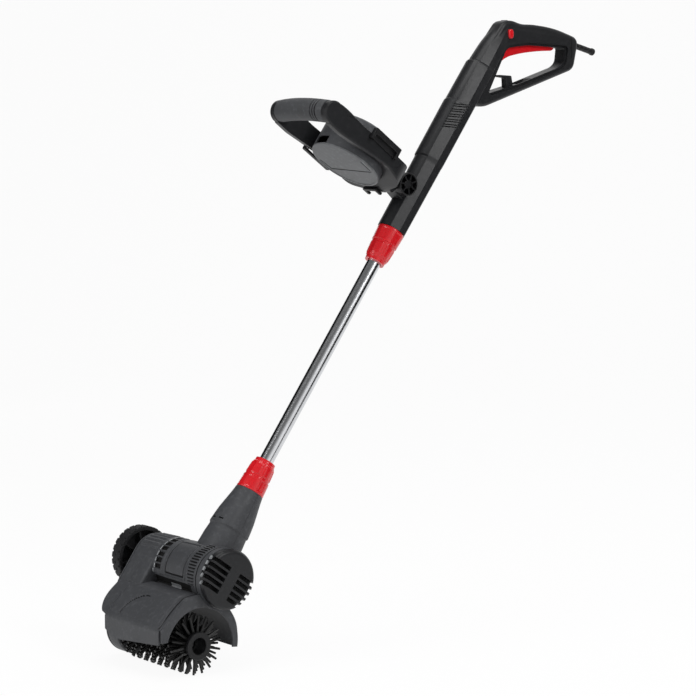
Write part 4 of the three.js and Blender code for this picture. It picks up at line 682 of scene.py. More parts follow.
# Outlines in the row's plane: (back, up, corner radius)
LOOP_HALF_WIDTH, LOOP_ROUND, WINDOW_FLARE, FLARE_FROM = 17, 7.0, -4.2, 12.8
LOOP_OUTLINE = [
    (-126, -10, 10), (-97, 24, 10), (-78, 26, 9), (-52, 19, 10), (-25, 19, 10), (9, 16, 20), (40, 10.5, 20),
    (92, -5, 17), (79, -62, 12), (-152, -133, 20), (-190, -118, 20),
]
LOOP_WINDOW = [
    (58, -23, 4), (55, -49, 7), (44, -58, 6), (-56, -88, 10), (-133, -106, 5), (-88, -24, 10),
    (-36, -18.5, 10), (22, -21, 10),
]
HOOK_RECESS = [(-64, -95, 2), (-36, -88, 2), (-20, -74, 2), (-58, -82, 2)]
TRIGGER_OUTLINE = [
    (-104.5, -57, 3.5), (-92, -46, 8), (-76, -39, 8), (-44, -33, 15), (-3, -29, 20), (31, -28, 5),
    (37, -24, 3), (36, -17, 4), (28, -14, 4), (-40, -13, 4), (-88, -21, 5), (-98, -44, 6),
]
TRIGGER_CAVITY = [
    (-112, -64, 2), (-104, -18, 4), (-90, -4, 4), (30, -3, 4), (42, -9, 4), (42, -26, 2), (30, -31, 2),
    (-3, -34, 2), (-80, -50, 2),
]
TRIGGER_HALF_WIDTH, TRIGGER_ROOM, SWITCH_ROOM = 6, 0.6, 0.8
HOOK_OUTLINE = [
    (-67, -93, 0), (-71, -74, 2), (-100, -72.6, 1.5), (-101, -76.2, 1.5), (-84, -78.4, 2), (-83, -98, 0),
]
SEAM_BACK, SEAM_WIDTH, SEAM_HALF, SEAM_TOP = 69.5, 1.2, 16.1, 3.6
BUTTON_BACK, BUTTON_RADIUS, BUTTON_ROOM, BUTTON_X = -86, 5.4, 0.4, (14, 23)


def barrel_body():
    """Rounded front, a flat facet on each side, and a step back to the flank."""
    rings = []
    for along, wide, front, back in BARREL_STATIONS:
        z = along * BARREL_LENGTH
        half, deep, flat = wide * BARREL_HALF_WIDTH, front * BARREL_FRONT, back * BARREL_BACK * FACET_SHARE
        angles = [math.radians(FRONT_ARC[0] + FRONT_ARC[1] * k / FRONT_STEPS) for k in range(FRONT_STEPS + 1)]
        points = [Vector((half * math.cos(angle), -deep * math.sin(angle), z)) for angle in angles]
        edge = FACET_EDGE_SHARE * deep
        right = [Vector((half, flat, z)), Vector((half, (flat + edge) / 2, z)),
                 Vector((half * FACET_EDGE_IN, edge, z))]
        left = [Vector((-p.x, p.y, z)) for p in reversed(right)]
        rings.append(right + points + left)
    return loft("barrel_body", rings)


def barrel_spine():
    rings = []
    for along, wide, _, back in BARREL_STATIONS:
        z = along * BARREL_LENGTH
        half, deep = wide * SPINE_HALF_WIDTH, back * BARREL_BACK
        angles = [math.pi * k / SPINE_STEPS for k in range(SPINE_STEPS + 1)]
        points = [Vector((-half * math.cos(angle), deep * math.sin(angle) ** SPINE_POWER, z))
                  for angle in angles]
        rings.append([Vector((-half, SPINE_FOOT, z)), *points, Vector((half, SPINE_FOOT, z))])
    return loft("barrel_spine", rings)


def vent_cutters(side):
    """Five pairs of slanting grooves on one facet of the barrel."""
    place = Matrix.Translation((side * VENT_OUT, VENT_FRONT, 0)) @ Matrix.Rotation(side * FACET_TURN, 4, "Z")
    starts = [VENT_START + pair * VENT_PAIR_STEP for pair in (0, 1)]
    return [moved(blocks("grooves", "painted_shade", start=(0.0, 0.0, start), **VENTS), place) for start in starts]


def make_housing():
    barrel = combined("UNION", barrel_body(), [barrel_spine()])
    lug = plate("lug", belt([(-46, 70, 14), (-14, 70, 18)]), -14, 14, 1.0)
    barrel = combined("UNION", barrel, [lug, rod("spigot", 18.4, -36, 2)])
    barrel = combined("DIFFERENCE", barrel, [rod("bore", 14.2, -40, 20), *vent_cutters(1), *vent_cutters(-1)])
    moved(barrel, ROW.inverted() @ SHAFT)
    loop = plate("loop", rounded(LOOP_OUTLINE, 10), -LOOP_HALF_WIDTH, LOOP_HALF_WIDTH, LOOP_ROUND, steps=7)
    outline = rounded(LOOP_WINDOW, 10)
    wide = inset_outline(outline, WINDOW_FLARE)
    body = combined("UNION", barrel, [loop])
    body = combined("DIFFERENCE", body, [
        plate("window", outline, -FAR_SIDE, FAR_SIDE),
        plate("flare", wide, FLARE_FROM, FAR_SIDE),
        plate("far_flare", wide, -FAR_SIDE, -FLARE_FROM),
        plate("recess", rounded(HOOK_RECESS, 3), -11, 11),
        plate("button_bore", button_outline(BUTTON_ROOM), BUTTON_X[0] - 3.5, FAR_SIDE),
        seam_cutter(),
        plate("cavity", rounded(TRIGGER_CAVITY, 3), -TRIGGER_HALF_WIDTH - TRIGGER_ROOM,
              TRIGGER_HALF_WIDTH + TRIGGER_ROOM),
        switch_pocket(),
    ])
    for side, word in ((-1, "left"), (1, "right")):
        half = half_of(body, "housing_" + word, side)
        finished(half, "housing_%s_shell" % word, ROW, "dark", "upper_unit",
                 ["housing_" + word], sharp_deg=19)
    bpy.data.objects.remove(body)


def switch_pocket():
    """Room round the switch block and its plunger, in the row's frame."""
    boxes = [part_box(name) for name in ("switch_block", "switch_plunger")]
    x0, y0, z0 = (min(box[0][axis] for box in boxes) * 1000 - SWITCH_ROOM for axis in range(3))
    x1, y1, z1 = (max(box[1][axis] for box in boxes) * 1000 + SWITCH_ROOM for axis in range(3))
    return plate("switch_pocket", rounded([(y0, z0, 1), (y1, z0, 1), (y1, z1, 1), (y0, z1, 1)], 2), x0, x1)


def seam_cutter():
    """Narrow groove round the grip near its rear end."""
    outer = plate("ring_outer", square(30, -40, 40, 4, 3), SEAM_BACK, SEAM_BACK + SEAM_WIDTH, 0, in_front)
    inner = plate("ring_inner", square(SEAM_HALF, -22.5, SEAM_TOP, 7, 5), SEAM_BACK - 1, SEAM_BACK + 3, 0,
                  in_front)
    return combined("DIFFERENCE", outer, [inner])


def square(half, low, high, radius, steps):
    corners = ((-half, low), (half, low), (half, high), (-half, high))
    return rounded([(*corner, radius) for corner in corners], steps)


def button_outline(clearance):
    radius = BUTTON_RADIUS + clearance
    return arc(BUTTON_BACK, 4, radius, 0, 180, 14) + arc(BUTTON_BACK, -2, radius, 180, 360, 14)


# Bend protection sleeve, as (radius, place along it)
SLEEVE_BORE, SLEEVE_RADIUS, SLEEVE_RIM, SLEEVE_BEAD, SLEEVE_RIB = 3.6, 5.6, 7.0, 6.7, 5.2
SLEEVE_RIBS = (10, 22, 34)
SLEEVE_PLACE, SLEEVE_TURN = (0, 93, -17), math.radians(-104)


def make_rear_controls():
    trigger = plate("trigger", rounded(TRIGGER_OUTLINE, 8), -TRIGGER_HALF_WIDTH, TRIGGER_HALF_WIDTH, 2.2,
                    steps=5)
    finished(trigger, "trigger_lever", ROW, "red", "trigger_lever", ["trigger"])
    button = plate("button", button_outline(0), *BUTTON_X, 2.0, steps=5)
    finished(button, "lock_button_cap", ROW, "red", "button", ["lock_button"])
    hook = plate("hook", rounded(HOOK_OUTLINE, 4), -7, 7, 1.0, steps=3)
    finished(hook, "cord_hook_arm", ROW, "dark", "upper_unit", ["cord_hook"])
    profile = [(SLEEVE_BORE, -12), (SLEEVE_RIM, -12), (SLEEVE_RIM, -9), (SLEEVE_RADIUS, -9),
               (SLEEVE_RADIUS, 4)]
    for start in SLEEVE_RIBS:
        profile += [(SLEEVE_RADIUS, start), (SLEEVE_RIB, start + 0.6), (SLEEVE_RIB, start + 2.0),
                    (SLEEVE_RADIUS, start + 2.6)]
    profile += [(SLEEVE_RADIUS, 45.5), (SLEEVE_BEAD, 46.5), (SLEEVE_BEAD, 51), (5.9, 52), (SLEEVE_BORE, 52),
                (SLEEVE_BORE, -12)]
    sleeve = turned("sleeve", softened(profile, 0.5, 2), steps=40)
    place = ROW @ Matrix.Translation(SLEEVE_PLACE) @ Matrix.Rotation(SLEEVE_TURN, 4, "X")
    finished(sleeve, "cord_sleeve_ribbed", place, "black", "upper_unit", ["cord_sleeve"])


# Telescopic tube and collars

TUBE_RADIUS, TUBE_BORE, TUBE_Z = 12.5, 11.3, (-567.0, 66.0)
COLLARS = [("upper", 65.5, -65.8, True), ("lower", 59.5, -532.7, False)]
COLLAR_TABLE = [
    (0, 18.0), (0.04, 18.2), (0.1, 18.7), (0.12, 20.0), (0.3, 21.2), (0.55, 22.3), (0.575, 22.5),
    (0.585, 23.7), (0.8, 24.6), (0.97, 25.0), (1.0, 24.4),
]
COLLAR_PANELS, PANEL_HEIGHT, LEDGE_DEPTH, COLLAR_BORE, COLLAR_CLEAR = 6, 0.9, 0.7, 13.1, 5


def make_tube():
    low, high = TUBE_Z
    profile = [(TUBE_BORE, low), (12.1, low), (TUBE_RADIUS, low + 0.4), (TUBE_RADIUS, high - 0.4),
               (12.1, high), (TUBE_BORE, high), (TUBE_BORE, low)]
    finished(turned("tube", profile, steps=96), "telescopic_tube_chromed", SHAFT, "chrome", "lower_unit",
             ["telescopic_tube"])


def collar_skin(length, bottom, up):
    """Clamp collar: a waist, six raised grip panels and a stepped wide end."""

    def spot(u, v):
        angle = 2 * math.pi * v
        around = (v * COLLAR_PANELS + 0.5) % 1 - 0.5
        panel = between(0.16, 0.5, u, 0.018) * between(-0.34, 0.34, around, 0.05)
        ledge = between(0.62, 0.93, u, 0.015) * between(-0.2, 0.2, around, 0.04)
        radius = lerp_table(COLLAR_TABLE, u)
        radius += PANEL_HEIGHT * panel - LEDGE_DEPTH * ledge
        z = bottom + (u if up else 1 - u) * length
        return Vector((radius * math.cos(angle), radius * math.sin(angle), z))

    bore = rod("collar_bore", COLLAR_BORE, bottom - COLLAR_CLEAR, bottom + length + COLLAR_CLEAR)
    return combined("DIFFERENCE", grid_skin("collar", 90, 144, spot), [bore])


def make_collars():
    for word, length, bottom, up in COLLARS:
        finished(collar_skin(length, bottom, up), word + "_collar_shell", SHAFT, "red", "collar_" + word,
                 [word + "_collar"], sharp_deg=40)


# Front handle

HANDLE_HALF_WIDTH, HANDLE_DROP = 78, -11
ARM_HALF_HEIGHT = 20
ARM_SHARES = [
    (-1, -1.6, 0.3), (-0.86, -1.62, 0.3), (-0.34, -0.9, 0.3), (-0.13, -1.45, 0.5), (-0.06, -1.45, 0.3),
    (-0.04, -0.8, 0.3), (-0.02, 0.8, 0.3), (-0.16, 0.42, 0.6), (-0.47, 0.5, 0.6), (-0.72, 0.38, 0.5),
    (-0.9, 0.52, 0.4), (-1, 0.45, 0.3),
]
# The frame's right half from above: (right, front, corner radius)
FRAME_PLAN = [(30, 17, 3), (30, -23.3, 10), (78, -38, 42), (78, -249.5, 2)]
FRAME_END = [(0, -78), (17.5, -78), (19.6, -76), (20, -73), (20, 73), (19.6, 76), (17.5, 78), (0, 78)]
ARM_PANEL = [
    (-214, -23, 4), (-206, 2, 8), (-128, 19, 8), (-58, 20, 8), (-60, -10, 8), (-84, -13, 8), (-196, -26, 4),
]
PANEL_DEPTH = 0.8
CUP_SEAT = 65.25
EAR_RADIUS, EAR_X, SLOT_HALF = 17, 30, 14.3
ROOT_ROOM = [(0, 0, 15.44), (-HANDLE_REACH, 0, 172.5)]


def make_handle_frame():
    far = [(-x, y, radius) for x, y, radius in FRAME_PLAN]
    base = plate("arms", rounded(far + FRAME_PLAN[::-1], 12), -80, 80, 0, in_plan)
    outline = rounded([(out * HANDLE_REACH, up * ARM_HALF_HEIGHT, bend * ARM_HALF_HEIGHT)
                       for out, up, bend in ARM_SHARES], 6)
    side = plate("side", outline, -HANDLE_HALF_WIDTH, HANDLE_HALF_WIDTH, 3.0, steps=4)
    side = combined("UNION", side, [turned("end", FRAME_END, "X", (-HANDLE_REACH, HANDLE_DROP), 64)])
    base = combined("INTERSECT", base, [side])
    hole = [*arc(0, -CUP_OUT, CUP_SEAT, 180, 0, 60), Vector((CUP_SEAT, -2 * HANDLE_REACH)),
            Vector((-CUP_SEAT, -2 * HANDLE_REACH))]
    base = combined("DIFFERENCE", base, [plate("cavity", hole, -90, 90, 0, in_plan)])
    ears = rod("ears", EAR_RADIUS, -EAR_X, EAR_X, "X", soften=1.5)
    base = combined("UNION", base, [ears])
    clear = plate("clear", rounded([(-80, -230, 0), (51, -230, 0), (51, 230, 0), (-80, 230, 0)]), -32, 32)
    clear = combined("DIFFERENCE", clear, [plate("room", belt(ROOT_ROOM), -34, 34)])
    panels = [plate("panel", rounded(ARM_PANEL, 5), x - PANEL_DEPTH, x + PANEL_DEPTH)
              for x in (-HANDLE_HALF_WIDTH, HANDLE_HALF_WIDTH)]
    slot = block("slot", -SLOT_HALF, SLOT_HALF, -17.6, 34, -60, 60)
    base = combined("DIFFERENCE", base, [slot, clear, *panels])
    finished(base, "front_handle_frame_arms", HANDLE, "dark", "front_handle",
             ["front_handle_frame"], sharp_deg=26)


GRIP_HALF, GRIP_RADIUS, GRIP_BOW = 64.6, 19.4, 8
GRIP_END_ROUND, GRIP_END_DROP = 1.6, 0.9
GROOVES = [(37.5 + 5.6 * k, 39.9 + 5.6 * k) for k in range(3)]
GROOVE_DEPTH = 1.9


def make_grip():
    def spot(u, v):
        x = -GRIP_HALF + 2 * GRIP_HALF * u
        y = -HANDLE_REACH - GRIP_BOW * (1 - (x / 76) ** 2)
        angle = 2 * math.pi * v
        radius = GRIP_RADIUS - GRIP_END_DROP * (1 - smooth(0, GRIP_END_ROUND, min(u, 1 - u) * 2 * GRIP_HALF))
        for low, high in GROOVES:
            radius -= GROOVE_DEPTH * between(low, high, x, 0.25)
        return Vector((x, y + radius * math.cos(angle), HANDLE_DROP + radius * math.sin(angle)))

    # Groove bottoms get the black finish: painted shade
    def finish_at(u, v):
        x = -GRIP_HALF + 2 * GRIP_HALF * u
        return int(any(low < x < high for low, high in GROOVES))

    finished(grid_skin("grip", 260, 56, spot, finish_at), "front_grip_sleeve", HANDLE, "grip", "front_handle",
             ["front_grip"], more=("black",))


# Clamp knob, as (radius, place along the pivot)
KNOB_PROFILE = [
    (0, 30.3), (19, 30.3), (20.5, 31.8), (20.5, 43), (19.4, 44.3), (18.3, 44.3), (17.6, 43.3),
    (17.6, 33.6), (8, 33.6), (8, 41), (7, 41.8), (0, 41.8),
]
KNOB_RIBS = {"count": 7, "start": (38.2, 0.0, 0.0), "radius": 12.8, "angle_step": 2 * math.pi / 7,
             "block_size": (10.0, 11.0, 2.4)}
KNOB_LOBES = {"count": 28, "start": (37.6, 0.0, 0.0), "radius": 20.0, "angle_step": math.pi / 14,
              "block_size": (10.5, 1.0, 1.9)}


def make_knob():
    rim = turned("knob", softened(KNOB_PROFILE, 0.6, 2), "X", (0, 0), 56)
    knob = joined([rim, blocks("ribs", "black", **KNOB_RIBS), blocks("lobes", "black", **KNOB_LOBES)])
    finished(knob, "clamp_knob_ribbed", HANDLE, "black", "knob", ["pivot_knob"])
    nut = rod("nut", 7.5, -29.5, -24.3, "X", steps=6, soften=0.5)
    finished(nut, "pivot_nut_steel", HANDLE, "steel", "front_handle", ["pivot_nut"])


# Storage cup and lid
CUP_LOW, CUP_TOP, CUP_RADIUS, CUP_INSIDE, CUP_WALL = -33.0, 35.0, 64.5, 61.9, 2.6
LID_PROFILE = [
    (0, -36), (63.5, -36), (CUP_RADIUS, -35), (CUP_RADIUS, -33.3), (60.3, -33.3), (60.3, -30), (0, -30),
]
LID_STEP = [(-55.2, -14), (-50.4, 14), (52, 21), (52, 17.8), (-47.4, 10.8), (-52.2, -14)]
LID_LOW_PART = [(-53, -14), (-49, 12.4), (53, 19.6)]


def make_cup():
    low, top = CUP_LOW, CUP_TOP
    outside = softened([(CUP_INSIDE, low), (CUP_RADIUS, low), (CUP_RADIUS, top - 14), (61.5, top - 6),
                        (52.5, top), (0, top), (0, top - CUP_WALL)], 2.0, 4)
    profile = [p for p in outside if p[0] > 0] + [(0, top), (0, top - CUP_WALL), (51.5, top - CUP_WALL),
                                                  (CUP_INSIDE, top - 16), (CUP_INSIDE, low)]
    shell = moved(turned("cup", profile, steps=96), Matrix.Translation((0, -CUP_OUT, 0)))
    window = block("window", -22, 10, -CUP_OUT - 68, -CUP_OUT - 50, low - 3, low + 15)
    shell = combined("DIFFERENCE", shell, [window])
    ledge = turned("ledge", [(0, top - 0.2), (30, top - 0.2), (29, top - 0.8), (0, top - 0.8)])
    moved(ledge, Matrix.Translation((0, -CUP_OUT, -0.1)))
    finished(joined([shell, ledge]), "storage_cup_shell", HANDLE, "body", "front_handle",
             ["storage_cup"], sharp_deg=35)
    disc = turned("lid", softened(LID_PROFILE, 0.5, 2), steps=96)
    step = [Vector(p) for p in LID_STEP]
    line = plate("line", step, -38, -32.8, 0, in_plan)
    low_part = plate("low_part", [*map(Vector, LID_LOW_PART), *arc(0, 0, 60, 20, 193, 40)], -38, -35.2, 0,
                     in_plan)
    slot = block("slot", 52.5, 58.7, -12, 16, -38, -33.4)
    disc = combined("DIFFERENCE", disc, [line, low_part, slot])
    # Black strip just under the step line: painted shade
    shade = marked(plate("shade", step, -35.8, -32.4, 0, in_plan), 1)
    # Pale bar in the slot: painted highlight
    latch = marked(block("latch", 55.6, 57.4, -11, 15, -35.8, -33.0, 0.4), 2)
    lid = moved(joined([disc, shade, latch]), Matrix.Translation((0, -CUP_OUT, 0)))
    finished(lid, "storage_lid_disc", HANDLE, "grey", "lid", ["storage_lid"], more=("painted_shade", "edge"))


# Brackets under the front handle
BRACKET_X = (78.3, 86.3)
BRACKET_OUT = -112
PIN_X, PIN_RADIUS = (77.9, 86.25), 2.6


def bracket(name, length, height, x0, x1, bar=6.0, post=6.0):
    """Bar that stands on a post at each end."""
    half, post = length / 2, length / 2 - post
    outline = rounded([(-half, height, 2.5), (-half, 0), (-post, 0), (-post, height - bar, 1.5),
                       (post, height - bar, 1.5), (post, 0), (half, 0), (half, height, 2.5)], 4)
    return plate(name, outline, x0, x1, 0.8, steps=3)


def bracket_pin(y, z):
    return marked(rod("pin", PIN_RADIUS, *PIN_X, "X", (y, z), 24, 1.0), 1)


def make_brackets():
    lip = bracket("right_lip", 66, 19, BRACKET_X[0], 80.2, 17.0)
    right = joined([bracket("right", 68, 21, *BRACKET_X, 10.0), lip, bracket_pin(-29, 17)])
    moved(right, Matrix.Translation((0, BRACKET_OUT, -2)))
    finished(right, "bracket_right_bar", HANDLE, "black", "front_handle", ["bracket_right"],
             more=("chrome",))
    left = joined([bracket("left", 68, 16.5, *BRACKET_X, 4.2, 8.0), bracket_pin(-30, 10)])
    moved(left, Matrix.Translation((0, BRACKET_OUT, -13)) @ Matrix.Rotation(math.pi, 4, "Y"))
    finished(left, "bracket_left_bar", HANDLE, "black", "front_handle", ["bracket_left"],
             more=("chrome",))
    small = bracket("root", 36, 17, 0, 4.8)
    moved(small, Matrix.Rotation(math.radians(90), 4, "Y") @ Matrix.Rotation(math.radians(90), 4, "X"))
    finished(small, "bracket_root_bar", HANDLE, "black", "front_handle")
    fit_box(small, *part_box("bracket_root"))
    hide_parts("bracket_root")


def fit_box(thing, low, high):
    """Moves a piece so that the middle of its box is the node's."""
    corners = [v.co for v in thing.data.vertices]
    here = [(min(c[k] for c in corners) + max(c[k] for c in corners)) / 2 for k in range(3)]
    there = (low + high) / 2
    thing.data.transform(Matrix.Translation(there - Vector(here)))


# Motor head

MOTOR_X = (-149.0, 56.0)
CASE_CIRCLES = [(0, MOTOR_UP, 46), (9.193, MOTOR_UP - 56.76, 55), (BRUSH_Y, BRUSH_Z, 46.4)]
CASE_LEFT, FLANK_RIGHT, SHOULDER_X = -149, -118, (-125, -86)
MOTOR_TABLE = [(0, 44.0), (0.008, 46.0), (0.3, 47.2), (0.6, 49.5), (0.97, 51.0), (1.0, 50.5)]
WINDOW_PITCH, WINDOW_HALF, WINDOW_DEPTH = 13, 4.7, 3.5
WINDOW_DEGS = [12 + WINDOW_PITCH * (k - 3) for k in range(7)]
RIB_HEIGHT, RIB_PITCH, RIB_FROM = 2.2, 10.4, 8
RECESS_DEPTH, BAND_HEIGHT, FIELD_HEIGHT, FIELD_LINE_DEPTH = 5.0, 1.3, 1.5, 2.2
HATCH_PITCH, HATCH_HEIGHT, RIM_LINE_DEPTH = 6, 1.8, 1.6
# Fields of the motor housing: (x from, x to, degrees from, degrees to, softness in x, in degrees)
RIB_FIELD = (-143, -92, RIB_FROM, 100, 2.5, 3)
BAND_FIELD = (-87, -56, -42, 64, 1.2, 2)
RECESS_FIELD = (-98, 27, -66, -46.5, 0.8, 0.8)
BARE_FIELD = (-50, 12, -40, 44, 0.7, 1.0)
LINE_OUTER, LINE_INNER = (-47, 9, -36, 40, 0.5, 0.8), (-44.6, 6.6, -33, 37, 0.5, 0.8)
RIM_FIELD = (42.0, 44.2, -60, 90, 0.3, 2)
WINDOW_X, WINDOW_RIM, WINDOW_FOOT = (-78, -62), (-81.5, -34, 58), (-86, -41)
HATCH_X, HATCH_DEGS, HATCH_WAIST, HATCH_SOFT = (16, 38), (-46, 52), (4.5, 5, 50), (0.8, 1.5)


def motor_spot(x, radius, up_deg):
    angle = math.radians(up_deg)
    return Vector((x, -radius * math.cos(angle), MOTOR_UP + radius * math.sin(angle)))


def patch(x, up_deg, field):
    """1 inside a field of the motor housing, 0 outside it."""
    x0, x1, deg0, deg1, soft, soft_deg = field
    return between(x0, x1, x, soft) * between(deg0, deg1, up_deg, soft_deg)


def motor_features(x, up_deg):
    """Height above the plain housing, and which finish lies there: 0 body, 1 void, 2 rubbed edge."""
    height, finish = 0.0, 0
    wave = 0.5 + 0.5 * math.cos(math.radians((up_deg - RIB_FROM) * 360 / RIB_PITCH))
    height += patch(x, up_deg, RIB_FIELD) * RIB_HEIGHT * wave ** 0.6
    height += BAND_HEIGHT * patch(x, up_deg, BAND_FIELD)
    # Window bottoms: painted shade
    for centre in WINDOW_DEGS:
        if abs(up_deg - centre) < WINDOW_HALF and WINDOW_X[0] < x < WINDOW_X[1]:
            height -= WINDOW_DEPTH
            finish = 1
    # Frames between and below the windows: pale edge finish as painted highlight
    rim_x, rim_low, rim_high = WINDOW_RIM
    off_window = abs((up_deg - WINDOW_DEGS[0]) % WINDOW_PITCH - WINDOW_PITCH / 2)
    if rim_x < x < WINDOW_X[0] and rim_low < up_deg < rim_high and off_window > 2.0:
        finish = 2
    if WINDOW_FOOT[0] < x < rim_x and WINDOW_FOOT[1] < up_deg < rim_low:
        finish = 2
    recess = patch(x, up_deg, RECESS_FIELD)
    height -= RECESS_DEPTH * recess
    # Recess: painted light on a wedge and a strip, painted shade in the rest of the gap under the motor
    if recess > 0.5:
        finish = 2 if -42 < x < -12 and up_deg < -57.5 or x < -93 else 1
    height += FIELD_HEIGHT * patch(x, up_deg, BARE_FIELD)
    line = patch(x, up_deg, LINE_OUTER) - patch(x, up_deg, LINE_INNER)
    height -= FIELD_LINE_DEPTH * line
    # Field line, hatch gaps and rim line below: painted shade
    if line > 0.6:
        finish = 1
    narrowing, middle, reach = HATCH_WAIST
    leaf = narrowing * abs(up_deg - middle) / reach
    hatch = patch(x, up_deg, (HATCH_X[0] + leaf, HATCH_X[1], *HATCH_DEGS, *HATCH_SOFT))
    height += hatch * (0.2 + HATCH_HEIGHT * (up_deg % HATCH_PITCH < 3.2))
    if hatch > 0.6 and up_deg % HATCH_PITCH > 3.6:
        finish = 1
    rim = patch(x, up_deg, RIM_FIELD)
    height -= RIM_LINE_DEPTH * rim
    if rim > 0.6:
        finish = 1
    return height, finish


def make_head_shells():
    left, right = MOTOR_X

    def spot(u, v):
        x, up_deg = left + u * (right - left), v * 360 - 180
        return motor_spot(x, lerp_table(MOTOR_TABLE, u) + motor_features(x, up_deg)[0], up_deg)

    def finish_at(u, v):
        return motor_features(left + u * (right - left), v * 360 - 180)[1]

    motor = grid_skin("motor", 190, 300, spot, finish_at)
    flank = plate("flank", belt(CASE_CIRCLES), CASE_LEFT, FLANK_RIGHT, 3.0, steps=5)
    shoulder = plate("shoulder", belt(CASE_CIRCLES[:2]), *SHOULDER_X, 4.0, steps=5)
    over_hood = rod("over_hood", GUARD_RADIUS + 0.8, -200, 0, "X", BRUSH_AXIS, 128)
    parts = [motor, flank, combined("DIFFERENCE", shoulder, [over_hood]), neck_skin()]
    for side, word in ((-1, "front"), (1, "back")):
        shell = joined([half_of(thing, "part", side, 1) for thing in parts])
        # Motor finishes 1 and 2: painted shade, and painted highlight with painted light
        finished(shell, "head_%s_shell_ribbed" % word, SHAFT, "body", "lower_unit",
                 ["head_%s_shell" % word], more=("painted_shade", "edge"), sharp_deg=34)
    for thing in parts:
        bpy.data.objects.remove(thing)


NECK_TABLE = [
    (0, 25.0), (0.03, 25.7), (0.3, 31.3), (0.46, 33.6), (0.47, 33.7), (0.49, 31.8), (0.6, 33.4), (0.82, 34.5),
    (0.99, 32.0),
]
NECK_TOP, NECK_LENGTH, NECK_SQUARE, NECK_FULLNESS, NECK_NARROW = -533.3, 156.4, 1.6, 0.62, 0.04


def neck_skin():
    """Neck between collar and motor: rounded square in section, with a shoulder and two short slots."""

    def spot(u, v):
        angle = 2 * math.pi * v
        radius = lerp_table(NECK_TABLE, u)
        square_share = smooth(0.02, 0.4, u)
        c, s = math.cos(angle), math.sin(angle)
        power = 2 + NECK_SQUARE * square_share
        grow = (abs(c) ** power + abs(s) ** power) ** (-1 / power)
        grow = 1 + (grow - 1) * NECK_FULLNESS
        x, y = radius * grow * c * (1 - NECK_NARROW * square_share), radius * grow * s
        return Vector((x, y, NECK_TOP - u * NECK_LENGTH))

    neck = grid_skin("neck", 120, 120, spot)
    slots = [block("slot", x - 5.5, x + 5.5, -45, -22, -601, -598.4) for x in (-11, 8)]
    return combined("DIFFERENCE", neck, slots)


CAP_X, CAP_RADIUS, CAP_ROUND = (56.3, 73.0), 51.0, 4.5
SLOT_COUNT, SLOT_PITCH, SLOT_WIDTH, SLOT_DEPTH, LOWEST_SLOT = 5, 10.8, 7.0, 15.0, -2.6
SLOT_SPANS = [("front_slots", -110.0, -11.0), ("back_slots", 11.0, 110.0)]


def make_vent_cap():
    start, face = CAP_X
    body = turned("cap", softened([(0, start), (CAP_RADIUS, start), (CAP_RADIUS, face - CAP_ROUND),
                                   (CAP_RADIUS - CAP_ROUND, face), (0, face)], 3.0, 5), "X", MOTOR_AXIS, 96)
    cutters = [blocks(name, "painted_shade", count=SLOT_COUNT, step=(0.0, 0.0, SLOT_PITCH),
                      start=(face - 5.4, (y0 + y1) / 2, MOTOR_UP + LOWEST_SLOT * SLOT_PITCH),
                      block_size=(SLOT_DEPTH, y1 - y0, SLOT_WIDTH)) for name, y0, y1 in SLOT_SPANS]
    body = combined("DIFFERENCE", body, cutters)
    # Black disc behind the slots: painted shade
    shade = marked(rod("shade", CAP_RADIUS - 5, start + 1, start + 5.6, "X", MOTOR_AXIS, 72), 1)
    # Pale blocks at the front slot ends: painted highlight
    rims = [marked(block("rim", 57.6, 60.6, y - 2.2, y + 1.6, z - 3.6, z + 3.6, 0.6), 2)
            for y, z in map(slot_end, range(SLOT_COUNT))]
    finished(joined([body, shade, *rims]), "vent_cap_slotted", SHAFT, "dark", "lower_unit",
             ["vent_cap"], more=("painted_shade", "edge"))


def slot_end(k):
    """Where a front slot meets the cap's side."""
    up = (k + LOWEST_SLOT) * SLOT_PITCH
    return -math.sqrt(CAP_RADIUS ** 2 - up ** 2) + 1.2, MOTOR_UP + up


BOSS_PROFILE = [(0, -178.7), (11.5, -178.7), (13, -177), (13.5, -152), (0, -152)]
SCREW_PROFILE = [(0, -155.2), (3.4, -155.2), (4, -154.4), (4, -151.5), (0, -151.5)]
SCREWS = [
    (-34, MOTOR_UP - 24), (50, MOTOR_UP - 30), (-34, MOTOR_UP - 96), (58, BRUSH_Z + 6), (4, BRUSH_Z - 36),
]


def make_gear_cover():
    outline = belt(CASE_CIRCLES)
    cover = plate("cover", outline, -152.3, -149.3, 1.2, steps=4)
    field = plate("field", inset_outline(outline, 9), -153.6, -151.9, 0.9, steps=3)
    boss = turned("boss", softened(BOSS_PROFILE, 1.0, 3), "X", MOTOR_AXIS, 48)
    heads = [turned("screw", softened(SCREW_PROFILE, 0.4, 2), "X", place, 24) for place in SCREWS]
    finished(joined([cover, field, boss]), "gear_cover_plate", SHAFT, "body", "lower_unit",
             ["gear_cover"])
    finished(joined(heads), "gear_cover_screws", SHAFT, "steel", "lower_unit")


# Brush guard: its section is drawn round the roller, upright

GUARD_LEFT, GUARD_RIGHT, GUARD_RADIUS, GUARD_WALL = -146.0, 52.0, 84.0, 3.4
APRON_OUT, APRON_TOP, APRON_FOOT = 72.0, 35.0, -2.0
TOP_STEPS, BEND_STEPS, FRONT_DROP_STEPS, SKIN_COLUMNS = 76, 24, 14, 150
APRON_EDGE = [
    (-210, 17), (-125, 17), (-117, 10), (-103, 3), (-86, -0.5), (-70, -1.4), (-16, 3.7), (42, 9),
    (48, 12), (54, 19), (210, 19), (210, -60), (-210, -60),
]
CREASE_IN, RIB_X, RIB_UP, RIB_RADIUS = 9, -34, 8, 46


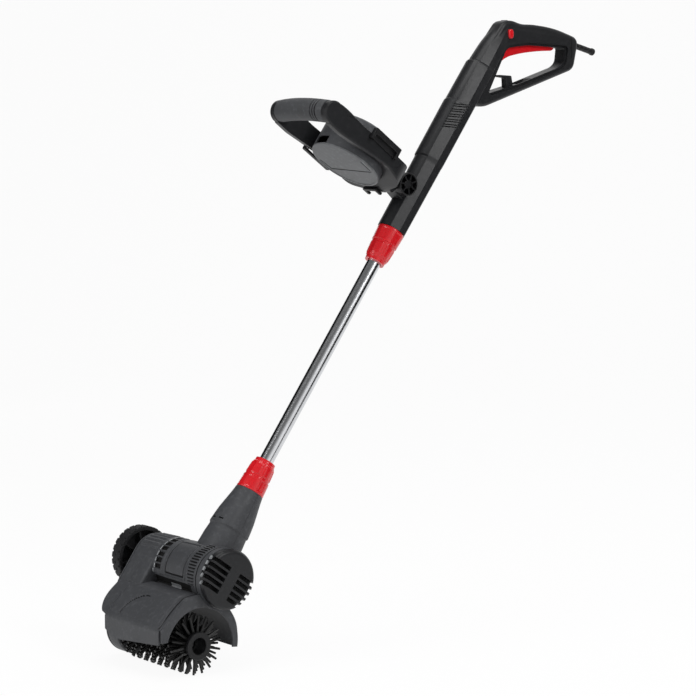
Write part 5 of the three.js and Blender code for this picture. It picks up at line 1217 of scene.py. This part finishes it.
def guard_line(depth, foot):
    """Section of the hood, a depth below its skin, from the back rim over the top to the apron's foot."""
    points = arc(0, 0, GUARD_RADIUS - depth, -10, 105, TOP_STEPS)
    start, bend = points[-1], Vector((depth - 48, 63 - depth))
    end = Vector((depth - APRON_OUT, APRON_TOP - depth))
    for k in range(1, BEND_STEPS + 1):
        t = k / BEND_STEPS
        points.append(start * (1 - t) ** 2 + bend * 2 * t * (1 - t) + end * t * t)
    for k in range(1, FRONT_DROP_STEPS + 1):
        points.append(end.lerp(Vector((end.x, foot)), k / FRONT_DROP_STEPS))
    return points


def guard_skin():
    path = guard_line(0, APRON_FOOT)
    inside = guard_line(GUARD_WALL, APRON_FOOT)
    count = len(path)
    lengths = [0.0]
    for a, b in zip(path, path[1:]):
        lengths.append(lengths[-1] + (b - a).length)
    bm = bmesh.new()
    outer, inner = [], []
    for i, here in enumerate(path):
        along = (path[min(i + 1, count - 1)] - path[max(i - 1, 0)]).normalized()
        normal = Vector((along.y, -along.x))
        if normal.dot(here) < 0:
            normal = -normal
        ahead, behind = here.x + APRON_OUT, GUARD_RADIUS + 2 - here.x
        left = GUARD_LEFT + corner_shift(ahead, 30) + corner_shift(behind, 15)
        right = GUARD_RIGHT - corner_shift(ahead, 8) - corner_shift(behind, 8)
        places = [left + (right - left) * j / (SKIN_COLUMNS - 1) for j in range(SKIN_COLUMNS)]
        skin = [(x, here + normal * guard_relief(x, lengths[-1] - lengths[i])) for x in places]
        outer.append([bm.verts.new((x, p.x, p.y)) for x, p in skin])
        inner.append([bm.verts.new((x, inside[i].x, inside[i].y)) for x in places])
    for i in range(count - 1):
        foot = lengths[-1] - (lengths[i] + lengths[i + 1]) / 2
        for j in range(SKIN_COLUMNS - 1):
            face = bm.faces.new((outer[i][j], outer[i][j + 1], outer[i + 1][j + 1], outer[i + 1][j]))
            face.material_index = in_groove((outer[i][j].co.x + outer[i][j + 1].co.x) / 2, foot)
            bm.faces.new((inner[i][j], inner[i + 1][j], inner[i + 1][j + 1], inner[i][j + 1]))
    for j in range(SKIN_COLUMNS - 1):
        for i in (0, count - 1):
            bm.faces.new((outer[i][j], inner[i][j], inner[i][j + 1], outer[i][j + 1]))
    for i in range(count - 1):
        for j in (0, SKIN_COLUMNS - 1):
            bm.faces.new((outer[i][j], outer[i + 1][j], inner[i + 1][j], inner[i][j]))
    return new_object("guard", bm)


def corner_shift(distance, radius):
    if distance >= radius:
        return 0.0
    return radius - math.sqrt(max(0.0, radius * radius - (radius - distance) ** 2))


def crease_places(x, foot):
    """Distances of a point of the hood above the apron's bend and left of the right crease."""
    return foot - (APRON_TOP - APRON_FOOT), GUARD_RIGHT - CREASE_IN - x


def in_groove(x, foot):
    """1 in the creases of the hood, 0 elsewhere."""
    crease, side = crease_places(x, foot)
    if side > -1 and abs(crease) < 1.2 or crease > 0 and abs(side) < 1.3:
        return 1
    return int(-90 < x < RIB_X and crease > RIB_UP
               and abs(math.hypot(x - RIB_X, crease - RIB_UP) - RIB_RADIUS) < 1.2)


def guard_relief(x, foot):
    """Raised field with creases round it, and a bent line on top of the hood."""
    crease, side = crease_places(x, foot)
    edge = min(crease, side, x - GUARD_LEFT - 26)
    relief = -1.3 * between(-1.1, 1.1, crease, 0.5) * smooth(-2, 2, side)
    relief -= 1.5 * between(-1.2, 1.2, side, 0.5) * smooth(-1, 3, crease)
    relief += 1.0 * smooth(9.0, 10.4, edge)
    if x < RIB_X and crease > RIB_UP:
        reach = math.hypot(x - RIB_X, crease - RIB_UP)
        relief -= 1.5 * between(RIB_RADIUS - 1, RIB_RADIUS + 1, reach, 0.5) * smooth(-96, -70, x + crease)
    return relief


def make_guard():
    edge = plate("edge", [Vector(p) for p in APRON_EDGE], -110, -30, 0, in_front)
    hood = combined("DIFFERENCE", guard_skin(), [edge])
    opening = arc(6, -4, 66.5, 165, -8, 80)
    flange = plate("flange", guard_line(0.6, 13.2) + opening, 48.4, 51.6, 0.9, steps=3)
    guard = combined("UNION", hood, [flange])
    place = SHAFT @ Matrix.Translation((0, *BRUSH_AXIS)) @ Matrix.Rotation(LEAN, 4, "X")
    moved(guard, SHAFT.inverted() @ place)
    envelope = plate("envelope", belt([(y, z, r + 0.3) for y, z, r in CASE_CIRCLES]), -210, -117.7)
    guard = combined("DIFFERENCE", guard, [envelope, rod("drum", 51.6, -149.4, 60, "X", MOTOR_AXIS)])
    # Crease faces take the black finish: painted shade
    finished(joined([guard, saddle_block()]), "brush_guard_hood", SHAFT, "body", "lower_unit",
             ["brush_guard"], sharp_deg=30, more=("black",))


def saddle_block():
    """Cradle between the hood and the motor housing."""
    body = plate("saddle", arc(*BRUSH_AXIS, GUARD_RADIUS - 1, 0, 360, 72)[:-1], -117, 50, 0)
    body = combined("INTERSECT", body, [rod("ring", 54.5, -117.5, 50.5, "X", MOTOR_AXIS)])
    return combined("DIFFERENCE", body, [rod("drum", 51.7, -130, 60, "X", MOTOR_AXIS)])


# Roller

CORE_PROFILE = [
    (8.3, -113), (23.5, -113), (23.5, -110), (20.5, -109.4), (20.5, 51.5), (23.5, 52), (23.5, 57.2),
    (22.7, 58), (15, 58), (14, 57), (14, 19), (8.3, 19), (8.3, -113),
]
BAND_COUNT, ROWS_IN_BAND, BANDS_LEFT, BANDS_LENGTH = 4, 5, -109.5, 161.0
SLEEVE_INNER, BAND_RADIUS, TUFT_ROOT, TUFT_REACH, FIRST_SEED = 20.3, 22.6, 20.6, 50.0, 11


def make_roller():
    core = turned("core", CORE_PROFILE, "X", BRUSH_AXIS, 64)
    finished(core, "roller_core_hub", SHAFT, "black", "brush", ["roller_core"])
    tree = bristle_tree()
    s = sizes()
    pitch = BANDS_LENGTH / (BAND_COUNT * ROWS_IN_BAND)
    for band in range(BAND_COUNT):
        field = grown(tree, "tufts", "bristle", rows=ROWS_IN_BAND, tufts_in_row=s.tufts_in_row, pitch=pitch,
                      root_radius=TUFT_ROOT, reach=TUFT_REACH, thickness=s.bristle_width, lean=s.bristle_lean,
                      seed=FIRST_SEED + band)
        moved(field, Matrix.Translation((BANDS_LEFT + (band * ROWS_IN_BAND + 0.5) * pitch, *BRUSH_AXIS)))
        left = BANDS_LEFT + band * ROWS_IN_BAND * pitch
        right = left + ROWS_IN_BAND * pitch - 0.3
        sleeve = turned("sleeve", [(SLEEVE_INNER, left), (BAND_RADIUS, left), (BAND_RADIUS, right),
                                   (SLEEVE_INNER, right), (SLEEVE_INNER, left)], "X", BRUSH_AXIS, 48)
        finished(joined([sleeve, field]), "bristle_band_%d_tufts" % (band + 1), SHAFT, "bristle", "brush",
                 ["bristle_band_%d" % (band + 1)], sharp_deg=50)
    washer = rod("washer", 13, 22.3, 24.8, "X", BRUSH_AXIS, 48, 0.5)
    head = rod("head", 7, 24.5, 30.8, "X", BRUSH_AXIS, 6, 0.5)
    finished(joined([washer, head]), "roller_bolt_head", SHAFT, "steel", "brush", ["roller_bolt"])


# Guide wheel

WHEEL_LEFT, WHEEL_WIDTH, WHEEL_RADIUS, NOTCHES = -205.0, 24.0, 53.0, 26
NOTCH_DEPTH, NOTCH_LENGTH, DIMPLE_DEPTH, EDGE_DROP = 2.1, 5.0, 1.3, 1.2
SPOKES = {"count": 8, "radius": 28.5, "angle_step": math.pi / 4}
SPOKE_RINGS = [("spokes", 15.0, (12.0, 34.0, 3.0)), ("outer_spokes", 5.2, (4.4, 33.0, 2.6))]


def tread_height(u, v):
    x = u * WHEEL_WIDTH
    tooth = abs((v * NOTCHES) % 1 - 0.5)
    side = 1 - between(NOTCH_LENGTH, WHEEL_WIDTH - NOTCH_LENGTH, x, 0.6)
    drop = NOTCH_DEPTH * side * (1 - smooth(0.07, 0.12, tooth))
    shift = ((v * NOTCHES + 0.5) % 1 - 0.5) * 2 * math.pi * WHEEL_RADIUS / NOTCHES
    drop += DIMPLE_DEPTH * (1 - smooth(1.3, 2.0, math.hypot(shift, x - WHEEL_WIDTH / 2)))
    drop += EDGE_DROP * (1 - smooth(0, 1.4, min(x, WHEEL_WIDTH - x)))
    return WHEEL_RADIUS - drop


def make_wheel():
    left, right = WHEEL_LEFT, WHEEL_LEFT + WHEEL_WIDTH

    def spot(u, v):
        angle = 2 * math.pi * v
        r = tread_height(u, v)
        return Vector((left + u * WHEEL_WIDTH, r * math.cos(angle), MOTOR_UP + r * math.sin(angle)))

    bowl = turned("bowl", [(0, left - 3), (46.5, left - 3), (44.5, left + 7), (0, left + 7)],
                  "X", MOTOR_AXIS, 72)
    well = turned("well", [(0, left + 9.5), (44.5, left + 9.5), (46.5, right + 3), (0, right + 3)],
                  "X", MOTOR_AXIS, 72)
    tread = combined("DIFFERENCE", grid_skin("tread", 50, 312, spot), [bowl, well])
    hub = turned("hub", softened([(5.4, left + 1), (12, left + 1), (12, left + 26), (5.4, left + 26),
                                  (5.4, left + 1)], 0.8, 2), "X", MOTOR_AXIS, 48)
    spokes, outer = [blocks(name, "black", start=(left + inward, 0.0, MOTOR_UP), block_size=size, **SPOKES)
                     for name, inward, size in SPOKE_RINGS]
    finished(joined([tread, hub, spokes, outer]), "guide_wheel_tread", SHAFT, "tread", "wheel",
             ["guide_wheel"], sharp_deg=36)
    bolt = turned("bolt", softened([(0, left - 3.3), (7, left - 3.3), (9.4, left - 2), (9.5, left + 0.7),
                                    (5, left + 0.7), (5, -155.9), (0, -155.9)], 0.5, 2), "X", MOTOR_AXIS, 32)
    finished(bolt, "wheel_bolt", SHAFT, "steel", "lower_unit", ["wheel_axle"])


# Inner pieces keep their shapes and get finishes

INNER = {
    "steel": ["trigger_pin", "trigger_spring", "pivot_bolt", "gear_plate", "stator_core", "rotor_shaft",
              "rotor_core", "rotor_bearing_left", "rotor_bearing_right", "idler_axle", "idler_gear",
              "brush_spindle", "spindle_bearing_left", "spindle_bearing_right"],
    "copper": ["field_coil_front", "field_coil_back", "commutator"],
    "brass": ["output_gear"],
    "black": ["switch_block", "cable_clamp", "tube_end_bush", "cooling_fan", "carbon_bridge",
              "carbon_block_upper", "carbon_block_lower"],
    "grey": ["switch_plunger", "tube_collet"],
}


def dress_inner():
    for finish, names in INNER.items():
        for name in names:
            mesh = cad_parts[name].data
            mesh.materials.clear()
            mesh.materials.append(FINISHES[finish])


# Stage, in metres

SWEEP_FRONT, SWEEP_BEND, SWEEP_ROUND, SWEEP_TOP, SWEEP_HALF, SWEEP_STEPS = -4.0, 3.2, 1.6, 6.0, 6.0, 12
WHITE = (1.0, 1.0, 1.0, 1.0)
CEILING_FROM, CEILING_SHADE = (0.3, 0.65), (1.0, 0.16)
SOFT_LIGHT, SWEEP_GLOW = 0.46, 0.93
# Lights: (name, place, aim, watts, width, height)
LIGHTS = [
    ("Key", (2.46, 0.12, 1.25), (0, -0.25, -0.2), 34, 1.1, 1.2),
    ("Fill", (-0.4, -3.6, 1.3), (0, -0.4, -0.5), 30, 1.3, 1.3),
    ("Top", (0.2, -0.8, 2.8), (0, -0.5, -0.4), 46, 2.0, 2.0),
]
CARDS = [("card_right", (2.0, 1.3, -0.4), 2.2, 3.2), ("card_left", (-2.3, -1.1, 0.6), 2.6, 3.0)]
CARD_AIM, CARD_BLACK = (0, -0.4, -0.4), (0.004, 0.004, 0.004, 1)
CAMERA_TURN, CAMERA_RISE = math.radians(51.0), math.radians(6.4)
CAMERA_PLACE, CAMERA_CLIP = (3.1126, -2.9694, -0.0979), 40
SENSOR_WIDTH, FOCAL_SHARE = 36, 2310 / 696


def make_stage():
    make_sweep()
    make_world()
    make_lights()
    for name, place, width, height in CARDS:
        dark_card(name, Vector(place), Vector(CARD_AIM), width, height)
    make_camera()


def make_sweep():
    """Pale floor that bends up into a back wall, square to the camera."""
    floor_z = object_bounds()[0].z
    rows = [(SWEEP_FRONT, floor_z), (SWEEP_BEND, floor_z)]
    for k in range(1, SWEEP_STEPS + 1):
        angle = math.pi / 2 * k / SWEEP_STEPS
        rows.append((SWEEP_BEND + SWEEP_ROUND * math.sin(angle),
                     floor_z + SWEEP_ROUND * (1 - math.cos(angle))))
    rows.append((SWEEP_BEND + SWEEP_ROUND, floor_z + SWEEP_TOP))
    facing = Matrix.Rotation(CAMERA_TURN, 4, "Z")
    bm = bmesh.new()
    line = [[bm.verts.new(facing @ Vector((x, y, z))) for x in (-SWEEP_HALF, SWEEP_HALF)] for y, z in rows]
    for a, b in zip(line, line[1:]):
        bm.faces.new((a[0], a[1], b[1], b[0]))
    sweep = new_object("studio_sweep", bm)
    sweep.data.shade_smooth()
    sweep.data.materials.append(sweep_material())
    sweep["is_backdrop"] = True


def seen_rays(tree):
    """1 for rays from the camera and in reflections, 0 for rays that light the pieces."""
    path = node(tree, "ShaderNodeLightPath").outputs
    return maths(tree, "ADD", path["Is Camera Ray"], path["Is Glossy Ray"], use_clamp=True)


def make_world():
    scene = bpy.context.scene
    world = scene.world or bpy.data.worlds.new("Studio")
    scene.world = world
    world.use_nodes = True
    tree = world.node_tree
    tree.nodes.clear()
    way = node(tree, "ShaderNodeTexCoord")
    height = node(tree, "ShaderNodeSeparateXYZ", [(0, way.outputs["Generated"])])
    ceiling = ranged(tree, height.outputs["Z"], CEILING_FROM, CEILING_SHADE)
    dim = node(tree, "ShaderNodeBackground", [("Color", WHITE), ("Strength", SOFT_LIGHT)])
    white = node(tree, "ShaderNodeBackground", [("Color", WHITE), ("Strength", ceiling)])
    mixed = node(tree, "ShaderNodeMixShader", [
        (0, seen_rays(tree)), (1, dim.outputs[0]), (2, white.outputs[0]),
    ])
    tree.links.new(mixed.outputs[0], node(tree, "ShaderNodeOutputWorld").inputs["Surface"])


def make_lights():
    for name, place, aim, energy, width, height in LIGHTS:
        light = bpy.data.lights.new(name, "AREA")
        light.shape = "RECTANGLE"
        light.size, light.size_y = width, height
        light.energy = energy
        lamp = bpy.data.objects.new(name, light)
        bpy.context.scene.collection.objects.link(lamp)
        lamp.location = place
        lamp.rotation_euler = (Vector(aim) - Vector(place)).to_track_quat("-Z", "Y").to_euler()


def make_camera():
    scene = bpy.context.scene
    camera = bpy.data.cameras.new("Camera")
    camera.sensor_width = SENSOR_WIDTH
    camera.lens = SENSOR_WIDTH * FOCAL_SHARE
    camera.clip_end = CAMERA_CLIP
    eye = bpy.data.objects.new("Camera", camera)
    scene.collection.objects.link(eye)
    level = math.cos(CAMERA_RISE)
    back = Vector((math.sin(CAMERA_TURN) * level, -math.cos(CAMERA_TURN) * level, math.sin(CAMERA_RISE)))
    eye.location = CAMERA_PLACE
    eye.rotation_euler = (-back).to_track_quat("-Z", "Y").to_euler()
    scene.camera = eye
    scene.view_settings.view_transform = "Standard"


def dark_card(name, place, aim, width, height):
    """Black card beside the set, which the camera doesn't see."""
    bm = bmesh.new()
    across = (aim - place).cross(Vector((0, 0, 1))).normalized() * width / 2
    up = Vector((0, 0, height / 2))
    bm.faces.new([bm.verts.new(place + a * across + b * up) for a, b in ((-1, -1), (1, -1), (1, 1), (-1, 1))])
    card = new_object(name, bm)
    felt = bpy.data.materials.get("Black card") or bpy.data.materials.new("Black card")
    felt.use_nodes = True
    shader = felt.node_tree.nodes["Principled BSDF"]
    shader.inputs["Base Color"].default_value = CARD_BLACK
    shader.inputs["Specular IOR Level"].default_value = 0.0
    card.data.materials.append(felt)
    card.visible_camera = False
    card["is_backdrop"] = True


def sweep_material():
    made = bpy.data.materials.new("Pale sweep")
    made.use_nodes = True
    tree = made.node_tree
    shader = tree.nodes["Principled BSDF"]
    shader.inputs["Roughness"].default_value = 0.9
    shader.inputs["Specular IOR Level"].default_value = 0.1
    clouds = noise(tree, node(tree, "ShaderNodeTexCoord").outputs["Object"], 1.2, 2.0)
    tree.links.new(ranged(tree, clouds, given=(0.93, 0.97)), shader.inputs["Base Color"])
    glow = node(tree, "ShaderNodeEmission", [("Color", WHITE), ("Strength", 1.0)])
    weight = maths(tree, "MULTIPLY", seen_rays(tree), SWEEP_GLOW)
    mixed = node(tree, "ShaderNodeMixShader", [(0, weight), (1, shader.outputs[0]), (2, glow.outputs[0])])
    tree.links.new(mixed.outputs[0], tree.nodes["Material Output"].inputs["Surface"])
    return made


# Add-on classes


class BrushSizes(bpy.types.PropertyGroup):
    """Sizes of the repeated details."""

    tufts_in_row: bpy.props.IntProperty(
        name="Tufts in a row", description="Tufts round the roller in each row", default=18, min=6, max=60)
    bristle_width: bpy.props.FloatProperty(
        name="Tuft width", description="Width of one tuft at its root, in millimetres", default=4.8,
        min=0.5, max=6)
    bristle_lean: bpy.props.FloatProperty(
        name="Tuft lean", description="Largest random lean of a tuft", default=math.radians(0.7),
        min=0, max=0.5, subtype="ANGLE")


def colour_property(name, description, default):
    return bpy.props.FloatVectorProperty(name=name, description=description, default=default, min=0, max=1,
                                         size=3, subtype="COLOR")


class BrushColours(bpy.types.PropertyGroup):
    """Colours of the finishes."""

    body: colour_property("Head and handle", "Charcoal plastic of the head and the front handle",
                          (0.055, 0.057, 0.062))
    dark: colour_property("Barrel", "Darker plastic of the barrel and the caps", (0.014, 0.0145, 0.016))
    black: colour_property("Black pieces", "Knob, brackets, wheel and sleeve", (0.007, 0.007, 0.008))
    grip: colour_property("Grip", "Rubber of the front grip", (0.054, 0.056, 0.06))
    red: colour_property("Red pieces", "Collars, trigger and lock button", (0.66, 0.012, 0.018))
    grey: colour_property("Lid", "Lid of the storage cup", (0.12, 0.125, 0.13))
    # Colour of the painted highlights on the pale rims and bars
    edge: colour_property("Painted highlight edges", "Pale rims of the air windows", (0.26, 0.27, 0.28))
    bristle: colour_property("Bristles", "Nylon of the bristles", (0.004, 0.004, 0.004))
    chrome: colour_property("Tube", "Polished tube", (0.68, 0.69, 0.71))


def operator(idname, label, text, *steps):
    """Operator class that runs the given makers in order."""

    def execute(self, context):
        for step in steps:
            step()
        return {"FINISHED"}

    name = "BRUSH_OT_" + idname
    return type(name, (bpy.types.Operator,), {
        "bl_idname": "brush." + idname, "bl_label": label, "__doc__": text, "execute": execute})


OPERATORS = [
    operator("finishes", "Finishes", "Makes every material", make_finishes),
    operator("housing", "Barrel housing", "Makes both halves of the barrel with its rear loop", make_housing),
    operator("controls", "Rear controls", "Makes trigger, lock button, hook and sleeve", make_rear_controls),
    operator("tube", "Tube and collars", "Makes the telescopic tube and its two collars",
             make_tube, make_collars),
    operator("front_handle", "Front handle", "Makes the tilting front handle and its brackets",
             make_handle_frame, make_grip, make_knob, make_brackets),
    operator("cup", "Storage cup", "Makes the storage cup and its lid", make_cup),
    operator("head", "Motor head", "Makes the head's shells, end cap and gear cover",
             make_head_shells, make_vent_cap, make_gear_cover),
    operator("guard", "Brush guard", "Makes the guard over the roller", make_guard),
    operator("roller", "Roller", "Makes the roller with its bristle bands", make_roller),
    operator("wheel", "Guide wheel", "Makes the guide wheel and its bolt", make_wheel),
    operator("inner", "Inner pieces", "Gives the inner pieces their finishes", dress_inner),
    operator("stage", "Stage", "Makes the floor, the lights and the camera", make_stage),
]


class BRUSH_PT_panel(bpy.types.Panel):
    """Panel that lists the makers and their settings"""

    bl_label = "Weed brush"
    bl_space_type = "VIEW_3D"
    bl_region_type = "UI"
    bl_category = "Weed brush"

    def draw(self, context):
        for group in (context.scene.brush_sizes, context.scene.brush_colours):
            for key in group.__annotations__:
                self.layout.prop(group, key)
        for maker in OPERATORS:
            self.layout.operator(maker.bl_idname)


CLASSES = [BrushSizes, BrushColours, *OPERATORS, BRUSH_PT_panel]


def register():
    for made in CLASSES:
        bpy.utils.register_class(made)
    bpy.types.Scene.brush_sizes = bpy.props.PointerProperty(type=BrushSizes)
    bpy.types.Scene.brush_colours = bpy.props.PointerProperty(type=BrushColours)


def unregister():
    del bpy.types.Scene.brush_sizes
    del bpy.types.Scene.brush_colours
    for made in reversed(CLASSES):
        bpy.utils.unregister_class(made)


def main():
    register()
    for maker in OPERATORS:
        group, name = maker.bl_idname.split(".")
        getattr(getattr(bpy.ops, group), name)()


if __name__ == "__main__":
    main()
